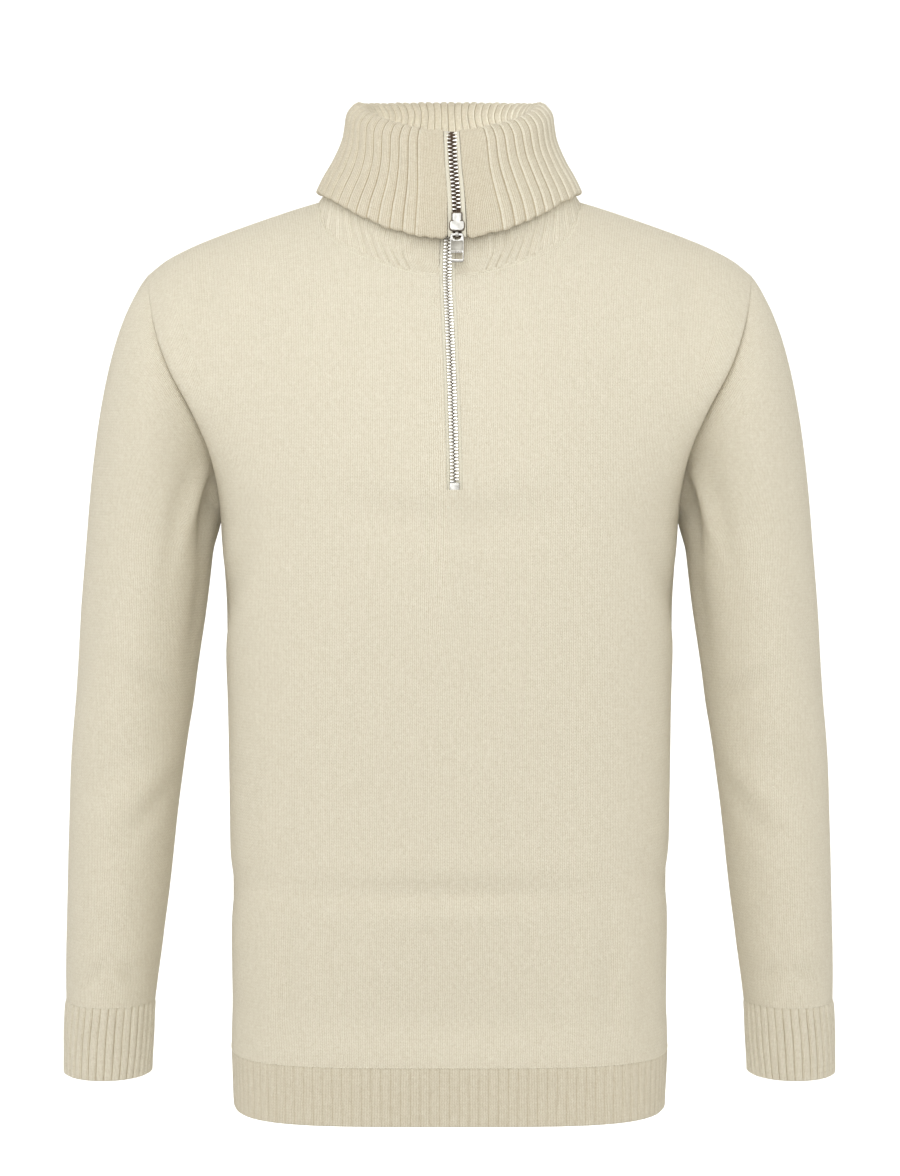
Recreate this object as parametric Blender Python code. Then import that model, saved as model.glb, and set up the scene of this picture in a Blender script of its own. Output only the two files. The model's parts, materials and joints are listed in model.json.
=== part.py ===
"""Half-zip sweater with a ribbed fold-over collar, filled out as on its wearer.

Units are metres, +Z is up, the front faces -Y, and the wearer's left arm is at +X. The origin
is the middle of the neck, level with the points where the shoulders meet the collar.

Every knitted piece is a thin wall between two grids of points, an outer and an inner one.
The grids are worked out from the tables below, which are in millimetres.
"""

import math
from collections import namedtuple

import bpy
import numpy as np

MM = 0.001

# ---- driving dimensions -------------------------------------------------------------------

KNIT_WALL = 2.4 * MM  # plain knit of the body and sleeves
RIB_WALL = 3.0 * MM  # cuffs and hem, without the ribs
COLLAR_WALL = 4.4 * MM  # the collar's double knit, without the ribs
CUFF_RAISE = 1.3 * MM  # how far a rib stands proud of its valley
HEM_RAISE = 0.8 * MM
COLLAR_RAISE = 1.0 * MM
SEAM_GAP = 0.3 * MM  # space between two pieces that are sewn together

UNDERARM_Z = -239 * MM
HEM_SEAM_Z = -633.5 * MM
HEM_BOTTOM_Z = -677.5 * MM
CUFF_SEAM_Z = -601 * MM
CUFF_BOTTOM_Z = -656 * MM
SHOULDER_OUT = 228 * MM  # the shoulder point, where the armhole crosses the ridge
RIDGE_Y = 4 * MM  # the shoulder seam lies just behind the middle
NECK_HALF = 98 * MM  # half the neck's width, where the collar meets the shoulder seam

SLIT_HALF = 5.6 * MM  # half the space between the knitted edges beside the zip
SLIT_BOTTOM_Z = -216.5 * MM
COLLAR_RIBS = 58
COLLAR_CROWD = 0.19  # how much closer its ribs lie in front and behind than at the sides
CUFF_RIBS = 34
HEM_RIBS = 70  # on each of the hem's two bands
RIB_SHARP = 15  # degrees: the ribs' crests and valleys stay crisp

# The torso's level sections: half width, how far the front and back stand off, and the power
# of the rounded outline (2 is an ellipse, more is squarer).
Section = namedtuple("Section", "height half_width front back power")
TORSO = [
    Section(-677.5, 163.0, 120, 113, 4.0),
    Section(-633.5, 164.7, 121, 113, 3.9),
    Section(-530, 165.0, 120, 111, 3.5),
    Section(-452, 166.0, 121, 110, 3.2),
    Section(-376, 167.6, 124, 111, 3.0),
    Section(-300, 169.5, 127, 114, 2.8),
    Section(-239, 172.5, 128, 117, 2.6),
]

# The top line of the shoulders, from the middle of the neck out to the shoulder point.
Ridge = namedtuple("Ridge", "out height")
RIDGE = [
    Ridge(0, 15.0),
    Ridge(60, 8.5),
    Ridge(98, 0.6),
    Ridge(116.8, -5.0),
    Ridge(139.6, -12.6),
    Ridge(161.4, -20.2),
    Ridge(182.2, -27.9),
    Ridge(199.8, -35.5),
    Ridge(215.2, -43.8),
    Ridge(228, -54.0),
]

# The armhole from the underarm (rise 0) to the shoulder point (rise 1): out from the middle,
# ahead of it on the front, behind it on the back, and height.
Armhole = namedtuple("Armhole", "rise out ahead behind height")
ARMHOLE = [
    Armhole(0.00, 172.5, 0, 0, -239),
    Armhole(0.12, 173.5, 12, 11, -214),
    Armhole(0.25, 178.5, 29, 26, -187),
    Armhole(0.40, 191.0, 48, 42, -156),
    Armhole(0.55, 206.0, 55, 48, -127),
    Armhole(0.75, 219.5, 43, 38, -90),
    Armhole(0.90, 226.0, 19, 17, -61),
    Armhole(1.00, 228.0, -4, 4, -54),
]

# The neck seam as it is seen from the front: its height at each distance from the middle.
NeckLine = namedtuple("NeckLine", "out height")
FRONT_NECK = [
    NeckLine(0, -57.0),
    NeckLine(20, -55.5),
    NeckLine(40, -50.0),
    NeckLine(60, -42.0),
    NeckLine(75, -34.5),
    NeckLine(87, -25.5),
    NeckLine(94, -16.5),
    NeckLine(97.5, -6.0),
    NeckLine(98, 0.5),
]
BACK_NECK = [
    NeckLine(0, -0.5),
    NeckLine(50, -0.2),
    NeckLine(90, 0.2),
    NeckLine(98, 0.5),
]

# Level sections of a sleeve: outer and inner edge seen from the front, half its depth, and
# how far its middle lies ahead.
SleeveRing = namedtuple("SleeveRing", "height outer inner half_depth ahead")
SLEEVE = [
    SleeveRing(-268, 276.0, 180.0, 62, 2),
    SleeveRing(-300, 279.0, 184.0, 60, 3),
    SleeveRing(-345, 281.7, 190.5, 57, 6),
    SleeveRing(-391, 284.7, 196.3, 54, 10),
    SleeveRing(-452, 287.5, 205.0, 50, 15),
    SleeveRing(-513, 289.3, 212.0, 46, 20),
    SleeveRing(-574, 290.2, 219.5, 42, 24),
    SleeveRing(-601, 290.0, 223.0, 40, 26),
]
CUFF = [
    SleeveRing(-601, 290.4, 223.2, 40, 26),
    SleeveRing(-628, 291.5, 224.5, 38.5, 27),
    SleeveRing(-656, 291.8, 226.0, 37.5, 28),
]

# The collar's rings in the middle of its wall, from the foot of the stand over the roll and
# down the fall: half width, distance ahead and behind the neck's middle, the height at the
# front, at the sides and at the back, the power by which it falls away to the front, half the
# slit, and how far the zip has drifted to +X there.
CollarRing = namedtuple(
    "CollarRing", "name half_width ahead behind front side back droop slit drift"
)
COLLAR = [
    CollarRing("stand_foot", 91.6, 81.0, 58.5, -46, 5.0, 8, 2.4, 5.6, -1.4),
    CollarRing("stand_low", 88.0, 79.5, 57.5, -34, 12.0, 16, 2.2, 5.6, -1.0),
    CollarRing("stand_mid", 77.0, 76.0, 55.5, -8, 33.0, 38, 1.9, 5.6, -0.2),
    CollarRing("stand_high", 68.2, 72.0, 55.0, 20, 53.5, 59, 1.6, 5.6, 0.6),
    CollarRing("stand_top", 64.6, 70.0, 56.0, 38, 65.0, 72, 1.4, 5.6, 1.1),
    CollarRing("roll_top", 68.6, 74.0, 60.0, 46.4, 71.8, 78.8, 1.3, 5.6, 1.4),
    CollarRing("roll_out", 72.8, 78.4, 64.4, 39, 65.6, 72.5, 1.4, 5.6, 1.8),
    CollarRing("fall_top", 74.8, 80.6, 66.0, 30, 57.0, 64, 1.5, 5.6, 2.3),
    CollarRing("fall_high", 76.8, 82.0, 67.5, 20, 47.5, 54, 1.6, 5.7, 3.0),
    CollarRing("fall_mid", 84.2, 84.8, 71.0, 1, 30.0, 36, 1.9, 5.9, 4.6),
    CollarRing("fall_low", 92.6, 87.0, 75.0, -17, 15.0, 20, 2.1, 6.5, 5.4),
    CollarRing("fall_end", 97.2, 88.6, 78.0, -31.5, 5.2, 8, 2.2, 6.8, 5.6),
]
COLLAR_MIDDLE_Y = -10 * MM
BACK_RISE = 1.5  # the power by which the collar rises to the back
STAND_LEAN = 0.3  # how far the stand's foot leans outwards as it rises
FOOT_GAP = 1.3 * SEAM_GAP  # between the stand's foot and the neck edge

# How far the zip has drifted to +X down the body.
ZipLine = namedtuple("ZipLine", "height drift")
ZIP_LINE = [
    ZipLine(-345, 0.0),
    ZipLine(-245, 3.8),
    ZipLine(-205, 3.6),
    ZipLine(-150, 2.2),
    ZipLine(-100, 0.3),
    ZipLine(-57, -1.5),
    ZipLine(-40, -1.5),
]

# The soft folds that show most: place on the panel, the way the crease runs (degrees from
# upright, leaning outwards), its length and width, and its depth (a ridge is above nought).
Fold = namedtuple("Fold", "out height lean length width depth")
FRONT_FOLDS = [
    Fold(126, -585, 6, 95, 26, -2.6),
    Fold(96, -575, 3, 80, 30, 1.6),
    Fold(158, -300, -14, 60, 24, -3.0),
    Fold(176, -95, 20, 60, 26, -2.0),
]
BACK_FOLDS = [
    Fold(70, -430, 30, 110, 30, -2.4),
    Fold(128, -560, 8, 100, 28, -2.6),
    Fold(150, -270, -20, 80, 28, -2.6),
]

# The zip: half widths and thicknesses.
CHAIN_HALF = 3.1 * MM
CHAIN_THICK = 2.4 * MM
TAPE_INNER = 3.4 * MM
TAPE_NARROW = 5.2 * MM  # its visible edge beside the chain
TAPE_WIDE = 13.5 * MM  # its edge where it is sewn behind the slit
TAPE_THICK = 0.8 * MM
STOP_TOP_Z = -207.5 * MM
STOP_BOTTOM_Z = -215.0 * MM
STOP_HALF = 3.6 * MM
TAPE_END_Z = -227 * MM
TAPE_BEHIND = 0.45 * MM  # between the cloth and the tape sewn behind it
STOP_THICK = 2.8 * MM
STOP_AHEAD = 0.3 * MM  # how far its middle lies ahead of the chain's
CHAIN_BREAK = 0.36 * MM  # the space between the chain's two halves on the roll
SHORT_STEP = 3 * MM  # no row of a path lies closer than this to its end

SLIDER_TOP_Z = -12.3 * MM
SLIDER_BOTTOM_Z = -26.2 * MM
SLIDER_HALF = 5.8 * MM
SLIDER_NECK_HALF = 4.0 * MM
SLIDER_CORE_HALF = 2.9 * MM
SLIDER_PLATE = 1.1 * MM
SLIDER_CLEAR = 1.6 * MM  # from the chain's middle to each plate
SLIDER_WAIST = 5 * MM  # how far down its neck ends
SLIDER_CORNER = 1.5 * MM
LUG_DEEP = 1 * MM  # how far the ring's lug reaches into the body
THROUGH = 4 * MM  # a cutter's reach to either side

PIVOT_Z = -28.6 * MM
PIVOT_AHEAD = 4.4 * MM  # from the slider's middle to the tab's pivot
RING_BORE = 1.6 * MM
RING_OUTER = 2.9 * MM
RING_HALF = 1.1 * MM
LUG_HALF = 1.05 * MM
TAB_HALF = 5.0 * MM
TAB_THICK = 1.8 * MM
TAB_CORNER = 1.2 * MM
TAB_TOP = 0.75 * MM  # above the pivot, the radius of the tab's top bar
TAB_BOTTOM_Z = -48.6 * MM
TAB_WINDOW = 3.3 * MM
TAB_SLOT = (3.7 * MM, -46.3 * MM, -41.7 * MM)  # half width, lowest and highest

WOOL = (0.80, 0.755, 0.64)
TAPE_CLOTH = (0.84, 0.81, 0.73)
METAL = (0.66, 0.65, 0.62)


# ---- curves and tables --------------------------------------------------------------------


def hermite(start, start_slope, end, end_slope, t):
    """The cubic from start to end with these slopes, at t from 0 to 1."""
    t2 = t * t
    t3 = t2 * t
    return (
        (2 * t3 - 3 * t2 + 1) * start
        + (t3 - 2 * t2 + t) * start_slope
        + (3 * t2 - 2 * t3) * end
        + (t3 - t2) * end_slope
    )


def column(table, key, field):
    """One smooth function of a table: field over key, whose rows rise in key."""
    keys = np.array([getattr(row, key) for row in table], float)
    values = np.array([getattr(row, field) for row in table], float)
    slopes = np.gradient(values, keys)

    def read(at):
        at = np.clip(at, keys[0], keys[-1])
        low = np.clip(np.searchsorted(keys, at, side="right") - 1, 0, len(keys) - 2)
        step = keys[low + 1] - keys[low]
        t = (at - keys[low]) / step
        start = values[low], slopes[low] * step
        end = values[low + 1], slopes[low + 1] * step
        return hermite(*start, *end, t)

    return read


def unit(vectors):
    """The vectors scaled to a length of one."""
    return vectors / np.maximum(np.linalg.norm(vectors, axis=-1, keepdims=True), 1e-12)


def smooth_step(t):
    """Eases from 0 to 1."""
    t = np.clip(t, 0, 1)
    return t * t * (3 - 2 * t)


# ---- torso panels -------------------------------------------------------------------------

RIDGE_SPREAD = 2.2  # how much more the outer lines fan out on their way to the shoulders
CLIMB = {-1: 1.12, 1: 1.3}  # how upright the front and the back start from the underarm
OVER_RIDGE = {-1: 0.25, 1: 0.31}  # how far the cloth runs level where it crosses the ridge
OVER_RIDGE_LESS = 0.11  # and how much less of that is left at the shoulder point
PULL_START = 0.4  # the line from which the armhole pulls the panel to it
LEAN_STEP = 10 * MM  # the height over which a lean is measured
HALVINGS = 40
LEAST_LEAN = 0.6  # limits how much thicker a slanted edge becomes
LOW_RISE = 0.2  # the seam at the neck lies above this rise on every line
LOW_SLIT = 0.5  # and the slit starts below this share of the centre line's rise
# Which way the cloth faces at the armhole: at the underarm, at the shoulder point, and how
# much it turns to the front or back between them.
UNDERARM_OUT = (1, 0, -0.15)
SHOULDER_MITRE = (0.62, 0, 0.78)
ARMHOLE_OUT = 0.75
ARMHOLE_TURN = 0.9

TORSO_HALF = column(TORSO, "height", "half_width")
TORSO_DEPTH = {
    -1: column(TORSO, "height", "front"),
    1: column(TORSO, "height", "back"),
}
TORSO_POWER = column(TORSO, "height", "power")
RIDGE_HEIGHT = column(RIDGE, "out", "height")
ARMHOLE_FIELDS = {
    field: column(ARMHOLE, "rise", field) for field in ("out", "ahead", "behind", "height")
}
NECK_HEIGHT = {
    -1: column(FRONT_NECK, "out", "height"),
    1: column(BACK_NECK, "out", "height"),
}
BODY_DRIFT = column(ZIP_LINE, "height", "drift")
FRONT, BACK = -1, 1


def level_point(across, z, face):
    """A point of the torso's level section: across 0 at the centre line, 1 at the side seam."""
    height = z / MM
    half = TORSO_HALF(height) * MM
    depth = TORSO_DEPTH[face](height) * MM
    power = TORSO_POWER(height)
    turn = across * math.pi / 2
    reach = ((np.sin(turn) / half) ** power + (np.cos(turn) / depth) ** power) ** (-1 / power)
    return np.stack(
        np.broadcast_arrays(reach * np.sin(turn), face * reach * np.cos(turn), z), axis=-1
    )


def ridge_point(across):
    """Where the line of the knit that starts at across meets the top of the shoulders."""
    start = level_point(across, UNDERARM_Z, FRONT)[..., 0]
    side = TORSO_HALF(UNDERARM_Z / MM) * MM
    out = start + (SHOULDER_OUT - side) * (start / side) ** RIDGE_SPREAD
    height = RIDGE_HEIGHT(out / MM) * MM
    return np.stack(np.broadcast_arrays(out, RIDGE_Y, height), axis=-1)


def armhole_point(rise, face):
    """A point of the armhole seam, which is a table of its own."""
    forth = ARMHOLE_FIELDS["ahead" if face == FRONT else "behind"](rise)
    return np.stack(
        [ARMHOLE_FIELDS["out"](rise) * MM, face * forth * MM, ARMHOLE_FIELDS["height"](rise) * MM],
        axis=-1,
    )


def plain_rise(across, rise, face):
    """The upper torso without the armhole's pull: from the underarm level over to the ridge."""
    start = level_point(across, UNDERARM_Z, face)
    below = level_point(across, UNDERARM_Z - LEAN_STEP, face)
    lean = (start - below) / LEAN_STEP
    end = ridge_point(across)
    climb = (end - start)[..., 2:] * CLIMB[face]
    over = OVER_RIDGE[face] - OVER_RIDGE_LESS * across[..., None] ** 2
    over_ridge = np.concatenate([np.zeros_like(over), -face * over, np.zeros_like(over)], axis=-1)
    return hermite(start, lean * climb, end, over_ridge, rise[..., None])


def upper_point(across, rise, face):
    """A point of the upper torso: rise 0 at the underarm level, 1 on the shoulder seam."""
    across, rise = np.broadcast_arrays(np.asarray(across, float), np.asarray(rise, float))
    edge = np.ones_like(across)
    pull = armhole_point(rise, face) - plain_rise(edge, rise, face)
    share = smooth_step((across - PULL_START) / (1 - PULL_START)) ** 2
    return plain_rise(across, rise, face) + share[..., None] * pull


def neck_rise(across, face):
    """How far up its line a point of the neck seam lies, by halving the interval."""
    low, high = LOW_RISE, 1.0
    for _ in range(HALVINGS):
        middle = (low + high) / 2
        point = upper_point(across, middle, face)
        if point[2] < NECK_HEIGHT[face](point[0] / MM) * MM:
            low = middle
        else:
            high = middle
    return (low + high) / 2


def across_at_neck():
    """The line of the knit that meets the shoulder seam at the side of the neck."""
    low, high = LOW_RISE, 1.0
    for _ in range(HALVINGS):
        middle = (low + high) / 2
        if ridge_point(np.float64(middle))[0] < NECK_HALF:
            low = middle
        else:
            high = middle
    return (low + high) / 2


NECK_ACROSS = across_at_neck()
SLIT_ACROSS = 0.03
NECK_LINES = 8  # the first of LINES end on the neck seam, the others on the shoulder seam
CROWDED = np.sin(np.linspace(0, math.pi / 2, NECK_LINES))
LINES = np.concatenate(
    [SLIT_ACROSS + (NECK_ACROSS - SLIT_ACROSS) * CROWDED, np.linspace(NECK_ACROSS, 1.0, 6)[1:]]
)
LOWER_ROWS = [-575, -520, -460, -400, -345, -290]
RISE_ROWS = [0.0, 0.09, 0.18, 0.28, 0.38, 0.48, 0.58, 0.68, 0.78, 0.87, 0.94, 1.0]


def slit_row(top_rise):
    """The share of the centre line's rise at which the slit starts."""
    low, high = 0.0, LOW_SLIT
    for _ in range(HALVINGS):
        middle = (low + high) / 2
        if upper_point(SLIT_ACROSS, middle * top_rise, FRONT)[2] < SLIT_BOTTOM_Z:
            low = middle
        else:
            high = middle
    return (low + high) / 2


def grid_normals(grid, closed=False):
    """Outward unit normals of a grid whose columns may run round."""
    if closed:
        along = np.roll(grid, -1, axis=1) - np.roll(grid, 1, axis=1)
    else:
        along = np.gradient(grid, axis=1)
    up = np.gradient(grid, axis=0)
    normals = unit(np.cross(along, up))
    inward = ((grid - grid.mean(axis=(0, 1))) * normals).sum() < 0
    return -normals if inward else normals


def soften(grid, normals, folds):
    """The grid with these folds pushed in or out along its normals."""
    out = np.abs(grid[..., 0])
    moved = grid.copy()
    for fold in folds:
        lean = math.radians(fold.lean)
        across = out - fold.out * MM
        upward = grid[..., 2] - fold.height * MM
        along = across * math.sin(lean) + upward * math.cos(lean)
        beside = across * math.cos(lean) - upward * math.sin(lean)
        bell = np.exp(-((beside / (fold.width * MM)) ** 2) - (along / (fold.length * MM)) ** 2)
        moved += normals * (fold.depth * MM * bell)[..., None]
    return moved


def half_panel(face, folds):
    """One half of a panel (x > 0) as a grid of outer points, and its unit normals."""
    lower = [level_point(LINES, HEM_SEAM_Z + SEAM_GAP, face)]
    lower += [level_point(LINES, row * MM, face) for row in LOWER_ROWS]
    tops = np.ones(len(LINES))
    tops[: NECK_LINES - 1] = [neck_rise(line, face) for line in LINES[: NECK_LINES - 1]]
    rows = list(RISE_ROWS)
    rows[1] = slit_row(tops[0]) if face == FRONT else rows[1]
    upper = [upper_point(LINES, row * tops, face) for row in rows]
    # The armhole's own rows keep the table's rises, which the sleeve shares.
    for grid_row, row in zip(upper, RISE_ROWS):
        grid_row[-1] = armhole_point(np.float64(row), face)
    grid = np.array(lower + upper)
    normals = grid_normals(grid)
    normals *= np.sign((normals[3, 3] * np.array([0, face, 0])).sum())
    grid = soften(grid, normals * fading(grid), folds)
    return grid, normals


def fading(grid):
    """1 in the middle of a panel and 0 on its edges, so that folds leave the seams alone."""
    rows, lines = grid.shape[:2]
    up = np.minimum(np.arange(rows), np.arange(rows)[::-1])
    along = np.arange(lines)[::-1]
    return (np.clip(up, 0, 1)[:, None] * np.clip(along, 0, 1)[None, :])[..., None]


def seam_normals(grid, normals, face):
    """The normals with those on the seams shared with the pieces that meet there."""
    shared = normals.copy()
    rows = len(LOWER_ROWS) + 1
    shared[:rows, -1] = (1, 0, 0)
    ridge = grid[-1, NECK_LINES - 1 :]
    slope = np.gradient(ridge, axis=0)
    shared[-1, NECK_LINES - 1 :] = unit(
        np.stack([-slope[:, 2], np.zeros(len(slope)), slope[:, 0]], axis=-1)
    )
    shared[rows:, -1] = armhole_mitres(face)
    return shared


def armhole_mitres(face):
    """Directions out of the cloth along the armhole, halfway between the panel and sleeve."""
    rise = np.array(RISE_ROWS)
    points = armhole_point(rise, face)
    sideways = ARMHOLE_OUT + (1 - ARMHOLE_OUT) * rise
    out = np.stack([sideways, face * np.sin(np.pi * rise) * ARMHOLE_TURN, rise**2], axis=-1)
    along = unit(np.gradient(points, rise, axis=0))
    out -= along * (out * along).sum(-1, keepdims=True)
    out[0] = UNDERARM_OUT
    out[-1] = SHOULDER_MITRE
    return unit(out)


def neck_directions(grid, normals):
    """At each point of a neck edge, the direction that splits the shoulder from the collar."""
    edge = grid[-1, :NECK_LINES]
    radial = unit((edge - np.array([0, COLLAR_MIDDLE_Y, 0])) * np.array([1, 1, 0]))
    stand = unit(radial + np.array([0, 0, STAND_LEAN]))
    return unit(normals[-1, :NECK_LINES] + stand)


# ---- solids from grids --------------------------------------------------------------------


def add_object(name, points, faces, material, sharp=40):
    """A new object from points and faces, turned outwards; edges over sharp degrees stay."""
    mesh = bpy.data.meshes.new(name)
    mesh.from_pydata([tuple(map(float, point)) for point in points], [], faces)
    triangles = np.array([(f[0], f[k], f[k + 1]) for f in faces for k in range(1, len(f) - 1)])
    corners = np.asarray(points, float)[triangles]
    if np.linalg.det(corners).sum() < 0:
        mesh.flip_normals()
    mesh.materials.append(material)
    mesh.shade_smooth()
    mesh.set_sharp_from_angle(angle=math.radians(sharp))
    obj = bpy.data.objects.new(name, mesh)
    bpy.context.scene.collection.objects.link(obj)
    return obj


def wall(name, outer, inner, material, closed=False, gaps=(), sharp=40):
    """A wall between two grids of the same rows.

    The inner grid has as many columns as the outer one or half as many, and then each of its
    columns stands behind every second outer one. gaps lists the (row, column) cells left open.
    """
    rows, lines = outer.shape[:2]
    backs = inner.shape[1]
    points = np.concatenate([outer.reshape(-1, 3), inner.reshape(-1, 3)])
    front = np.arange(rows * lines).reshape(rows, lines)
    back = rows * lines + np.arange(rows * backs).reshape(rows, backs)
    if closed:
        front = np.concatenate([front, front[:, :1]], axis=1)
        back = np.concatenate([back, back[:, :1]], axis=1)
    front, back = front.tolist(), back.tolist()
    faces = []
    for row in range(rows - 1):
        for grid, outwards in ((front, True), (back, False)):
            low, high = grid[row], grid[row + 1]
            for line in range(len(low) - 1):
                if (row, line) not in gaps:
                    after = line + 1
                    shown = low[line], low[after], high[after], high[line]
                    hidden = low[line], high[line], high[after], low[after]
                    faces.append(shown if outwards else hidden)
    if backs < lines:
        faces += ribbed_rims(front, back, closed)
    else:
        faces += plain_rims(faces, points, rows * lines)
    return add_object(name, points, faces, material, sharp)


def plain_rims(faces, points, count):
    """Faces that join each open edge of the first count points to its twin count points on.

    Each is split from its lower outer corner, as the rim of the piece sewn to it is, so that
    the two twist alike and the seam's gap stays open.
    """
    edges = set()
    for face in faces:
        for start, end in zip(face, face[1:] + face[:1]):
            if (end, start) in edges:
                edges.remove((end, start))
            else:
                edges.add((start, end))
    rims = []
    for start, end in sorted(edge for edge in edges if edge[0] < count):
        if points[start][2] < points[end][2]:
            rims += [(end, start, end + count), (start, start + count, end + count)]
        else:
            rims += [(end, start, start + count), (end, start + count, end + count)]
    return rims


def ribbed_rims(front, back, closed):
    """Faces that join a ribbed grid's edges to a plain grid with half as many columns."""
    faces = []
    for row, low in ((0, True), (-1, False)):
        ribs, plain = front[row], back[row]
        for rib in range(len(plain) - 1):
            left, crest, right = ribs[2 * rib : 2 * rib + 3]
            near, far = plain[rib : rib + 2]
            rim = [(crest, left, near), (crest, near, far), (right, crest, far)]
            faces += rim if low else [face[::-1] for face in rim]
    if not closed:
        for row in range(len(front) - 1):
            faces.append((front[row][0], front[row + 1][0], back[row + 1][0], back[row][0]))
            faces.append((front[row + 1][-1], front[row][-1], back[row][-1], back[row + 1][-1]))
    return faces


def mirrored(grid):
    """The grid's twin on the other side of the centre line, its columns in reverse."""
    return grid[:, ::-1] * np.array([-1, 1, 1])


def seam_shift(points):
    """Moves the back panel's side and shoulder edges off the front's by the seam's gap."""
    moved = points.copy()
    moved[:, -1, 1] += SEAM_GAP
    moved[-1, NECK_LINES - 1 : -1, 1] += SEAM_GAP
    return moved


def panel_sides(face, folds):
    """The outer and inner grids of one half of a panel."""
    grid, normals = half_panel(face, folds)
    shared = seam_normals(grid, normals, face)
    ways = neck_directions(grid, shared)
    depth = np.full(grid.shape[:2], KNIT_WALL)
    lean = np.clip((ways * shared[-1, :NECK_LINES]).sum(-1), LEAST_LEAN, 1)
    shared[-1, :NECK_LINES] = ways
    depth[-1, :NECK_LINES] = KNIT_WALL / lean
    inner = grid - shared * depth[..., None]
    return grid, inner


def build_panel(name, face, folds, material):
    """A whole panel, mirrored about the centre line; the front has the slit."""
    grids = panel_sides(face, folds)
    if face == BACK:
        grids = [seam_shift(grid) for grid in grids]
    whole = [np.concatenate([mirrored(grid), grid], axis=1) for grid in grids]
    rows, lines = grids[0].shape[:2]
    gaps = set()
    if face == FRONT:
        for grid in whole:
            drift = BODY_DRIFT(grid[:, lines, 2] / MM) * MM
            grid[:, lines, 0] = drift + SLIT_HALF
            grid[:, lines - 1, 0] = drift - SLIT_HALF
        gaps = {(row, lines - 1) for row in range(len(LOWER_ROWS) + 2, rows - 1)}
    return wall(name, *whole, material, gaps=gaps)


# ---- sleeves and cuffs --------------------------------------------------------------------

SLEEVE_ROWS = [-268, -300, -345, -400, -470, -540]
CAP_STEPS = [0.0, 0.16, 0.38, 0.68]
# The ways in which the sleeve leaves the armhole at the shoulder, in front and at the underarm,
# and how strongly it leaves and arrives at its first level ring.
LEAVE_TOP = np.array([0.62, 0, -0.78])
LEAVE_FRONT = np.array([0.8, -0.42, -0.45])
LEAVE_UNDER = np.array([0.1, 0, -1.0])
LEAVE_SHARE = 0.74
ARRIVE_SHARE = 1.05
UNDER_LIFT = 1.5  # seam gaps by which its edge is lifted off the panels at the underarm
MITRE_ALIKE = 0.6  # the cosine from its own way out to the mitre under which it leaves the mitre


def sleeve_turns():
    """The turn round the sleeve of each of its columns: 0 at the shoulder, 0.25 in front."""
    rises = np.array(RISE_ROWS)
    front = armhole_point(rises, FRONT)[::-1]
    back = armhole_point(rises, BACK)
    loop = np.concatenate([front, back[1:]])
    walked = np.concatenate([[0], np.cumsum(np.linalg.norm(np.diff(loop, axis=0), axis=1))])
    turns = walked / walked[-1]
    half = len(front) - 1
    turns[: half + 1] *= 0.5 / turns[half]
    turns[half:] = 0.5 + 0.5 * (turns[half:] - turns[half]) / (1 - turns[half])
    return turns[:-1], loop[:-1]


def ring_point(table, turn, z):
    """A point of a sleeve's or cuff's level section."""
    rising = table[::-1]
    height = z / MM
    outer = column(rising, "height", "outer")(height) * MM
    inner = column(rising, "height", "inner")(height) * MM
    depth = column(rising, "height", "half_depth")(height) * MM
    ahead = column(rising, "height", "ahead")(height) * MM
    angle = turn * 2 * math.pi
    x = (outer + inner) / 2 + (outer - inner) / 2 * np.cos(angle)
    y = -ahead - depth * np.sin(angle)
    return np.stack(np.broadcast_arrays(x, y, z), axis=-1)


def sleeve_grids():
    """The outer and inner grids of the sleeve at +X, from the armhole down."""
    turns, loop = sleeve_turns()
    mitres = np.concatenate([armhole_mitres(FRONT)[::-1], armhole_mitres(BACK)[1:]])[:-1]
    first = ring_point(SLEEVE, turns, SLEEVE_ROWS[0] * MM)
    second = ring_point(SLEEVE, turns, SLEEVE_ROWS[0] * MM - LEAN_STEP)
    reach = np.linalg.norm(first - loop, axis=1, keepdims=True)
    angle = turns * 2 * math.pi
    top = np.clip(np.cos(angle), 0, 1)[:, None]
    flank = np.sin(angle)[:, None]
    under = np.clip(-np.cos(angle), 0, 1)[:, None]
    ahead = np.array([0, 1, 0])
    beside = np.abs(flank) * LEAVE_FRONT * (1 - ahead) + flank * LEAVE_FRONT * ahead
    leave = unit(top * LEAVE_TOP + beside + under * LEAVE_UNDER)
    arrive = unit(second - first)
    # The seam's gap is opened across the seam, away from the panels, and at the underarm, where
    # the sleeve hangs beside them, sideways too.
    seam_way = unit(np.roll(loop, -1, axis=0) - np.roll(loop, 1, axis=0))
    off = unit(np.cross(seam_way, mitres))
    off *= np.sign((off[0] * leave[0]).sum())
    off *= 1 + UNDER_LIFT * under**2
    start = loop + (off + UNDER_LIFT * np.sqrt(under) * mitres) * SEAM_GAP
    rows = [
        hermite(start, leave * reach * LEAVE_SHARE, first, arrive * reach * ARRIVE_SHARE, step)
        for step in CAP_STEPS
    ]
    rows += [ring_point(SLEEVE, turns, row * MM) for row in SLEEVE_ROWS]
    rows.append(ring_point(SLEEVE, turns, CUFF_SEAM_Z + SEAM_GAP / 2))
    outer = np.array(rows)
    normals = grid_normals(outer, closed=True)
    centre = outer.mean(axis=1, keepdims=True)
    normals[-2:] *= np.sign(((outer - centre)[-2:] * normals[-2:]).sum(-1, keepdims=True))
    normals[-1, :, 2] = 0
    normals[-1] = unit(normals[-1])
    # Where the sleeve hangs close beside the panels, its edge stands square to itself.
    alike = (normals[0] * mitres).sum(-1, keepdims=True)
    normals[0] = unit(mitres + smooth_step(1 - alike / MITRE_ALIKE) * (normals[0] - mitres))
    return outer, outer - normals * KNIT_WALL


def build_sleeve(name, side, material):
    """A sleeve: side is +1 for the wearer's left and -1 for the right."""
    outer, inner = sleeve_grids()
    flip = np.array([side, 1, 1])
    return wall(name, outer * flip, inner * flip, material, closed=True)


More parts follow.
